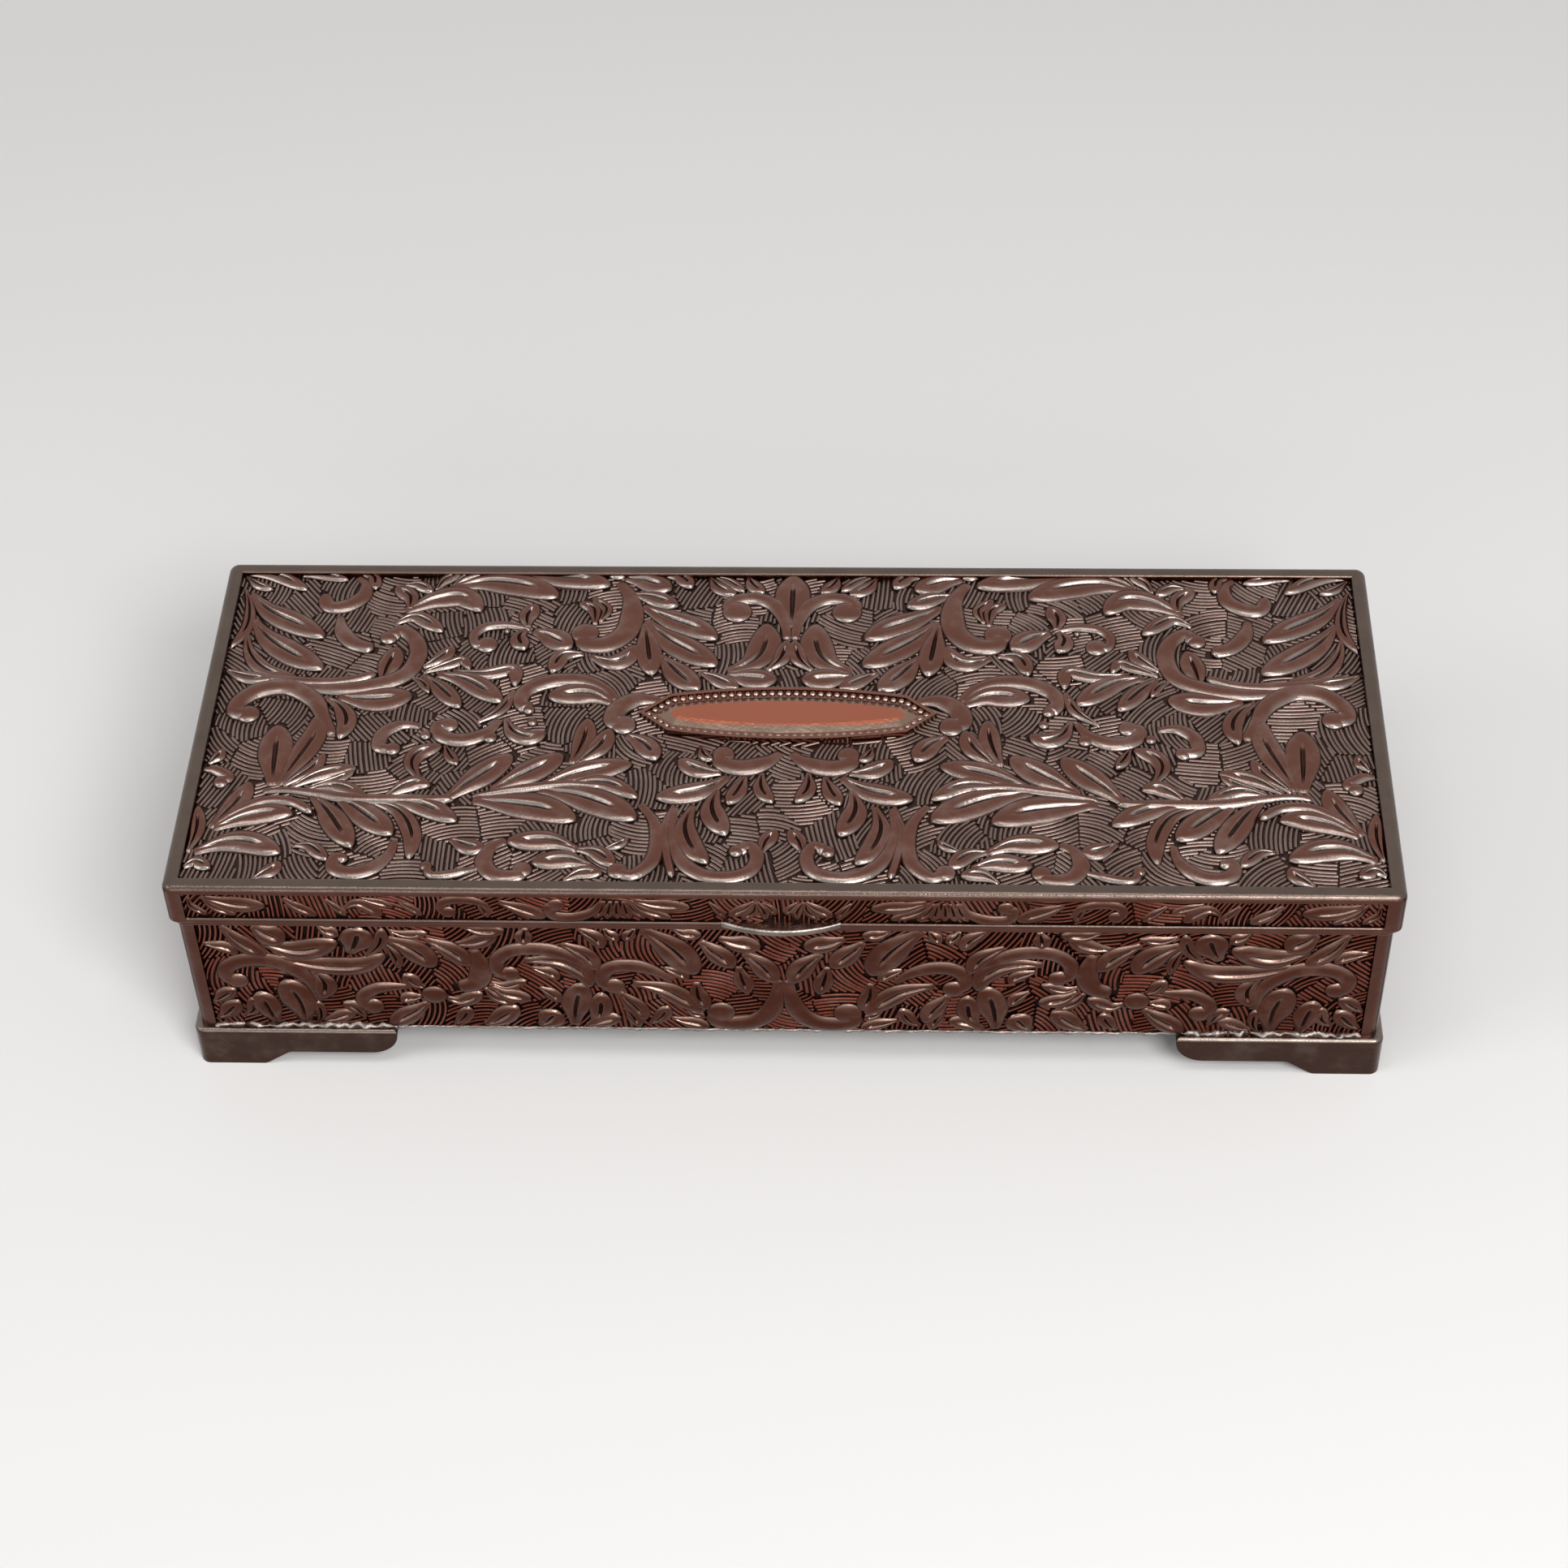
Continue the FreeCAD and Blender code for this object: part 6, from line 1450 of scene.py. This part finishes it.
@dataclass
class Lid:
    """The lid: its carved top, its four carved bands, and the beaded name plate, in millimetres."""

    nodes: dict[str, Any]
    finishes: Finishes
    rim_width: float = 3.0
    top_depth: float = 1.4
    band_depth: float = 0.8
    band_low: float = 42.4
    band_high: float = 49.2
    post: float = 3.6
    carving: Carving = Carving(height=1.3)
    band_carving: Carving = Carving(height=0.76, along=16)
    shoulder_share: float = 0.8
    shoulder_width_share: float = 0.7
    bow_points: int = 15
    bead_depth: float = 0.5
    bead_inset: float = 1.22
    bead_pitch: float = 1.58
    bead_radius: float = 0.62
    bead_flatness: float = 0.65

    def __post_init__(self) -> None:
        """Reads the lid's size from the frame."""
        low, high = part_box("lid_shell")
        self.half_length = high[0] / MM
        self.half_width = high[1] / MM
        self.top = high[2] / MM

    def build(self) -> None:
        """Builds and dresses every piece of the lid."""
        self.carved_top()
        self.carved_bands()
        self.beads()
        paint(["lid_shell"], self.nodes, self.finishes.lid_cast)
        paint(["thumb_lip"], self.nodes, self.finishes.lip)
        paint(["name_plate"], self.nodes, self.finishes.plate)

    def carved_top(self) -> None:
        """Makes the leaves, the scrolls and the ground of the top."""
        panel = Panel(Vector((0, 0, (self.top - self.top_depth) * MM)), outward=(0, 0, 1), up=(0, 1, 0))
        pattern = Pattern(LID_TOP_LEAVES, LID_TOP_SCROLLS, LID_TOP_KNOBS, LID_TOP_CENTRE_LEAF).both_halves()
        for name, cut in (("lid_top_leaves", pattern.cut_leaves), ("lid_top_scrolls", pattern.cut_scrolls)):
            data = MeshData()
            cut(data, panel, self.carving)
            made = settle(data.build(name), Body.LID, self.finishes.carved)
            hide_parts("lid_carved_panel")
        ground_sheet("lid_top_ground", "lid_carved_panel", panel, self.finishes.carved, Body.LID)
        half_field = self.half_width - self.rim_width
        ground = Ground(panel, self.half_length - self.rim_width, -half_field, half_field, pattern)
        settle(Hatching().build("lid_hatching", [ground], self.finishes.ground), Body.LID)

    def carved_bands(self) -> None:
        """Makes the carving and the ground of the four bands round the edge."""
        x, y = self.half_length - self.band_depth, self.half_width - self.band_depth
        panels = side_panels(x, y, self.half_length - self.post, self.half_width - self.post)
        band = Pattern(BAND_LEAVES, BAND_SCROLLS)
        grounds = []
        data = MeshData()
        for panel, half_run in panels:
            shown = band.within(half_run).both_halves()
            shown.cut_leaves(data, panel, self.band_carving)
            shown.cut_scrolls(data, panel, self.band_carving)
            grounds.append(Ground(panel, half_run, self.band_low, self.band_high, shown))
        settle(data.build("lid_band_carving"), Body.LID, self.finishes.wall_carved)
        hatching = Hatching(seed=9).build("lid_band_hatching", grounds, self.finishes.wall_ground)
        settle(hatching, Body.LID)

    def plate_outline(self) -> np.ndarray:
        """The name plate's outline: a point at each end, and two bowed sides between its shoulders."""
        low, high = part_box("name_plate")
        half_long, half_wide = high[0] / MM, (high[1] - low[1]) / 2 / MM
        shoulder, sagitta = half_long * self.shoulder_share, half_wide * (1 - self.shoulder_width_share)
        bend_radius = (shoulder ** 2 + sagitta ** 2) / (2 * sagitta)
        bow = np.linspace(-1, 1, self.bow_points) * shoulder
        rise = half_wide - bend_radius + np.sqrt(bend_radius ** 2 - bow ** 2)
        back = np.column_stack([bow, rise])
        return np.vstack([[-half_long, 0], back, [half_long, 0], back[::-1] * [1, -1]])

    def beads(self) -> None:
        """Sets a row of beads in the name plate's channel, all along inside its outline."""
        low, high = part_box("name_plate")
        outline = self.plate_outline()
        first, second = outline - np.roll(outline, 1, axis=0), np.roll(outline, -1, axis=0) - outline
        first /= np.linalg.norm(first, axis=1, keepdims=True)
        second /= np.linalg.norm(second, axis=1, keepdims=True)
        inward = np.stack([first[:, 1] + second[:, 1], -first[:, 0] - second[:, 0]], axis=1)
        inward /= np.linalg.norm(inward, axis=1, keepdims=True)
        spread = inward[:, 0] * first[:, 1] - inward[:, 1] * first[:, 0]
        line = outline + inward * (self.bead_inset / spread)[:, None] + [0, (low[1] + high[1]) / 2 / MM]
        count = len(line)
        places = np.column_stack([line, np.full(count, self.top - self.bead_depth)]) * MM
        made = new_piece("plate_beads", places, [(n, (n + 1) % count) for n in range(count)])
        run_tree(made, bead_tree(), {
            "Pitch": self.bead_pitch * MM, "Radius": self.bead_radius * MM,
            "Flatness": self.bead_flatness, "Finish": self.finishes.beads,
        })
        settle(made, Body.LID)


@dataclass
class BoxBody:
    """The body: its four carved walls, its feet, and its hinges, in millimetres."""

    nodes: dict[str, Any]
    finishes: Finishes
    lid_overhang: float = 1.2
    panel_depth: float = 0.8
    post: float = 3.2
    panel_low: float = 9.8
    panel_high: float = 40.0
    hinge_middle: float = 65.0
    hinge_seat: float = 29.2
    hinge_seat_low: float = 32.1
    carving: Carving = Carving(height=1.1, leaf_fullness=1.58)
    hatching: Hatching = Hatching(pitch=1.0, ridge_radius=0.46, seed=11)
    casting_edge: RoughEdge = RoughEdge(reach=0.5, reach_spread=0.22, tall=-0.75, tall_spread=0.3)
    solder: RoughEdge = RoughEdge(reach=0.9, reach_spread=0.45, tall=0.55, tall_spread=0.4)
    edge_past_foot: float = 0.6
    solder_past_post: float = 0.2
    edge_bite: float = 0.05
    edge_seed: int = 5

    def build(self) -> None:
        """Builds and dresses every piece of the body."""
        low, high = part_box("lid_shell")
        x = high[0] / MM - self.lid_overhang
        y = high[1] / MM - self.lid_overhang
        panels = side_panels(x - self.panel_depth, y - self.panel_depth, x - self.post, y - self.post)
        self.walls(panels)
        self.rough_edges(panels)
        paint(["base_body"], self.nodes, self.finishes.body_cast)
        paint([name for name in self.nodes if name.startswith("foot_")], self.nodes, self.finishes.foot)
        hinges = [name for name in self.nodes if name.startswith("hinge_") or name.endswith("rivets")]
        paint(hinges, self.nodes, self.finishes.hinge)

    def walls(self, panels: list[tuple[Panel, float]]) -> None:
        """Makes the carving and the ground of the four walls."""
        pattern = Pattern(FRONT_LEAVES, FRONT_SCROLLS, FRONT_KNOBS)
        finish = self.finishes.wall_carved
        grounds = []
        for name, (panel, half_run) in zip(("front", "rear", "left", "right"), panels):
            shown = pattern.within(half_run).both_halves()
            data = MeshData()
            shown.cut_leaves(data, panel, self.carving)
            shown.cut_scrolls(data, panel, self.carving)
            made = settle(data.build(f"body_{name}_carving"), Body.BASE, finish)
            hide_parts(f"{name}_carved_panel")
            notches = self.hinge_rooms() if name == "rear" else ()
            ground_sheet(f"body_{name}_ground", f"{name}_carved_panel", panel, finish, Body.BASE, notches)
            grounds.append(Ground(panel, half_run, self.panel_low, self.panel_high, shown))
        hatching = self.hatching.build("body_hatching", grounds, self.finishes.wall_ground)
        settle(hatching, Body.BASE)

    def hinge_rooms(self) -> list[tuple[float, ...]]:
        """The openings round the seats of the hinges, in the rear panel's upper edge."""
        half = self.hinge_seat / 2
        middles = (-self.hinge_middle, self.hinge_middle)
        return [(middle - half, middle + half, self.hinge_seat_low) for middle in middles]

    def rough_edges(self, panels: list[tuple[Panel, float]]) -> None:
        """Adds the rough casting edge between the feet, and the solder along their ledges."""
        rng = np.random.default_rng(self.edge_seed)
        casting, solder = MeshData(), MeshData()
        low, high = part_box("foot_front_left")
        open_runs = (-high[0] / MM, -high[0] / MM, -high[1] / MM, -high[1] / MM)
        for (panel, half_run), open_run in zip(panels, open_runs):
            reach, far = open_run + self.edge_past_foot, half_run + self.solder_past_post
            above, below = self.panel_low + self.edge_bite, self.panel_low - self.edge_bite
            self.casting_edge.add(casting, panel, -reach, reach, above, rng)
            self.solder.add(solder, panel, -far, -open_run, below, rng)
            self.solder.add(solder, panel, open_run, far, below, rng)
        for name, data in (("body_casting_edge", casting), ("foot_solder", solder)):
            made = data.build(name)
            face_outwards(made.data)
            settle(made, Body.BASE, self.finishes.rough)


@dataclass
class Lining:
    """The cloth and card inside, and the felt underneath."""

    nodes: dict[str, Any]
    finishes: Finishes
    soft_edge: float = 0.6
    edge_share: float = 0.3
    edge_segments: int = 3
    step: float = 2.4
    fewest_steps: int = 2
    most_steps: int = 90
    crown_powers: Point = (8, 6)
    crown_roundness: float = 0.5
    pad_crown: float = 0.3
    pad_fill: float = 0.5

    def build(self) -> None:
        """Builds and dresses the whole lining."""
        velvet = self.finishes.velvet
        for side in ("front", "rear", "left", "right"):
            self.cushion(f"lining_{side}", Body.BASE, velvet)
        floor = self.cushion("floor_pad", Body.BASE, velvet, self.pad_crown)
        ceiling = self.cushion("lid_pad", Body.LID, velvet, self.pad_crown, downwards=True)
        self.cushion("underside_felt", Body.BASE, self.finishes.felt)
        paint(["floor_card", "lid_card"], self.nodes, self.finishes.card)

    def cushion(
        self, name: str, body: Body, finish: Any, crown: float = 0.0, downwards: bool = False
    ) -> bpy.types.Object:
        """Makes a soft piece with rounded edges inside a node's space.

        Args:
            name: The node that it stands for.
            body: The body that it rides on.
            finish: Its material.
            crown: How much of its thickness its soft face swells by, as a share.
            downwards: Whether its soft face looks down.

        Returns:
            The piece.
        """
        low, high = (Vector(corner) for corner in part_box(name))
        size = high - low
        middle = (low + high) / 2
        wanted = [int(edge / (self.step * MM)) for edge in size[:2]]
        steps = [max(self.fewest_steps, min(self.most_steps, count)) for count in wanted]
        u, v = np.meshgrid(*(np.linspace(-1, 1, count + 1) for count in steps), indexing="ij")
        over_length, over_width = self.crown_powers
        swell = ((1 - np.abs(u) ** over_length) * (1 - np.abs(v) ** over_width)) ** self.crown_roundness
        thick = size.z * ((1 - crown) + crown * swell)
        x = middle.x + u * size.x / 2
        y = middle.y + v * size.y / 2
        lower, upper = np.full_like(x, low.z), low.z + thick
        if downwards:
            lower, upper = high.z - thick, np.full_like(x, high.z)
        index = grid_index(*u.shape)
        quads = grid_quads(index.T)
        ring = np.concatenate([index[:, 0], index[-1, 1:], index[-2::-1, -1], index[0, -2:0:-1]])
        following = np.roll(ring, -1)
        walls = np.stack([ring + u.size, following + u.size, following, ring], axis=-1)
        places = [np.column_stack([x.ravel(), y.ravel(), level.ravel()]) for level in (upper, lower)]
        faces = np.vstack([quads, quads[:, ::-1] + u.size, walls]).tolist()
        made = new_piece(f"{name}_cloth", np.vstack(places), faces=faces)
        bevel = made.modifiers.new("soft_edges", "BEVEL")
        bevel.width = min(self.soft_edge * MM, min(size) * self.edge_share)
        bevel.segments = self.edge_segments
        bevel.limit_method = "ANGLE"
        bake(made, bevel)
        made.data.shade_smooth()
        settle(made, body, finish)
        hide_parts(name)
        return made


@dataclass(frozen=True)
class Lamp:
    """One soft lamp that looks at the box, with its place and size in metres and its power in watts."""

    name: str
    place: tuple[float, float, float]
    size: tuple[float, float]
    power: float
    target: tuple[float, float, float] = (0.0, 0.0, 0.03)

    def build(self) -> None:
        """Makes the lamp."""
        lamp = bpy.data.lights.new(self.name, "AREA")
        lamp.shape = "RECTANGLE"
        lamp.size, lamp.size_y = self.size
        lamp.energy = self.power
        made = link(self.name, lamp)
        made.location = self.place
        made.rotation_euler = (Vector(self.target) - Vector(self.place)).to_track_quat("-Z", "Y").to_euler()


@dataclass
class Studio:
    """The floor, the lamps, the world and the camera, in metres and degrees."""

    floor_size: float = 3.0
    floor_colour: Colour = (0.8, 0.79, 0.78)
    floor_roughness: float = 0.9
    fade_from: float = 0.3
    fade_to: float = 1.4
    lamps: tuple[Lamp, ...] = (
        Lamp("key", (0.38, -0.72, 0.86), (0.5, 0.4), 7.7),
        Lamp("fill", (-0.9, -0.4, 0.8), (0.5, 0.5), 2.5),
        Lamp("top", (0.0, -0.24, 1.05), (0.7, 0.3), 2.2),
        Lamp("front", (0.0, -1.05, 0.5), (1.0, 0.3), 2.3),
    )
    world_colour: Colour = (0.8, 0.8, 0.8)
    world_strength: float = 0.42
    white: Colour = (1.0, 1.0, 1.0)
    camera_place: tuple[float, float, float] = (0.0232631, -0.4412452, 0.4963484)
    camera_yaw: float = 3.1481
    camera_pitch: float = 46.3412
    camera_roll: float = -1.8831
    focal_pixels: float = 4025.4
    picture_pixels: float = 1932.0
    sensor_mm: float = 36.0
    clip_range: Point = (0.01, 20.0)

    def build(self) -> None:
        """Builds the whole studio."""
        self.floor()
        for lamp in self.lamps:
            lamp.build()
        self.world()
        self.camera()

    def floor(self) -> None:
        """Makes the plain pale floor, which the camera sees fade to white far from the box."""
        half = self.floor_size / 2
        corners = np.array([(-half, -half, 0), (half, -half, 0), (half, half, 0), (-half, half, 0)])
        made = new_piece("floor", corners, faces=[(0, 1, 2, 3)])
        finish = bpy.data.materials.new("pale_paper")
        w = Wiring.holder(finish)
        paper = w.node(
            "ShaderNodeBsdfPrincipled", Base_Color=self.floor_colour, Roughness=self.floor_roughness
        )
        apart = w.node("ShaderNodeVectorMath", {"operation": "LENGTH"}, Vector=w.place).outputs["Value"]
        seen = w.node("ShaderNodeLightPath").outputs["Is Camera Ray"]
        faded = w.maths("MULTIPLY", seen, w.ramp(apart, self.fade_from, self.fade_to))
        white = w.node("ShaderNodeEmission", Color=self.white, Strength=1.0)
        mixed = w.node("ShaderNodeMixShader", i0=faded, i1=paper.outputs[0], i2=white.outputs[0])
        w.node("ShaderNodeOutputMaterial", Surface=mixed.outputs[0])
        made.data.materials.append(finish)

    def world(self) -> None:
        """Makes the pale surroundings, which the camera and the metal see as white."""
        world = bpy.data.worlds.new("studio")
        bpy.context.scene.world = world
        w = Wiring.holder(world)
        rays = w.node("ShaderNodeLightPath").outputs
        seen = w.largest([rays["Is Camera Ray"], rays["Is Glossy Ray"], rays["Is Transmission Ray"]])
        light = w.node("ShaderNodeBackground", Color=self.world_colour, Strength=self.world_strength)
        shown = w.node("ShaderNodeBackground", Color=self.white, Strength=1.0)
        mixed = w.node("ShaderNodeMixShader", i0=seen, i1=light.outputs[0], i2=shown.outputs[0])
        w.node("ShaderNodeOutputWorld", Surface=mixed.outputs[0])

    def camera(self) -> None:
        """Sets the camera where the photograph was taken from."""
        yaw, pitch, roll = (math.radians(a) for a in (self.camera_yaw, self.camera_pitch, self.camera_roll))
        level = math.cos(pitch)
        forward = Vector((-math.sin(yaw) * level, math.cos(yaw) * level, -math.sin(pitch)))
        right = Vector((math.cos(yaw), math.sin(yaw), 0))
        up = right.cross(forward)
        turned_right = right * math.cos(roll) + up * math.sin(roll)
        turned_up = up * math.cos(roll) - right * math.sin(roll)
        camera = bpy.data.cameras.new("camera")
        camera.sensor_width = self.sensor_mm
        camera.lens = self.focal_pixels / self.picture_pixels * self.sensor_mm
        camera.clip_start, camera.clip_end = self.clip_range
        made = link("camera", camera)
        turn = Matrix((turned_right, turned_up, -forward)).transposed().to_4x4()
        made.matrix_world = Matrix.Translation(Vector(self.camera_place)) @ turn
        bpy.context.scene.camera = made


def main() -> None:
    """Loads the frame, dresses the box, and builds the studio."""
    logging.basicConfig(level=logging.INFO, format="%(message)s")
    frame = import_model()
    bpy.context.scene.view_settings.view_transform = "Standard"
    finishes = Finishes.build()
    Lid(frame["nodes"], finishes).build()
    BoxBody(frame["nodes"], finishes).build()
    Lining(frame["nodes"], finishes).build()
    Studio().build()


if __name__ == "__main__":
    main()
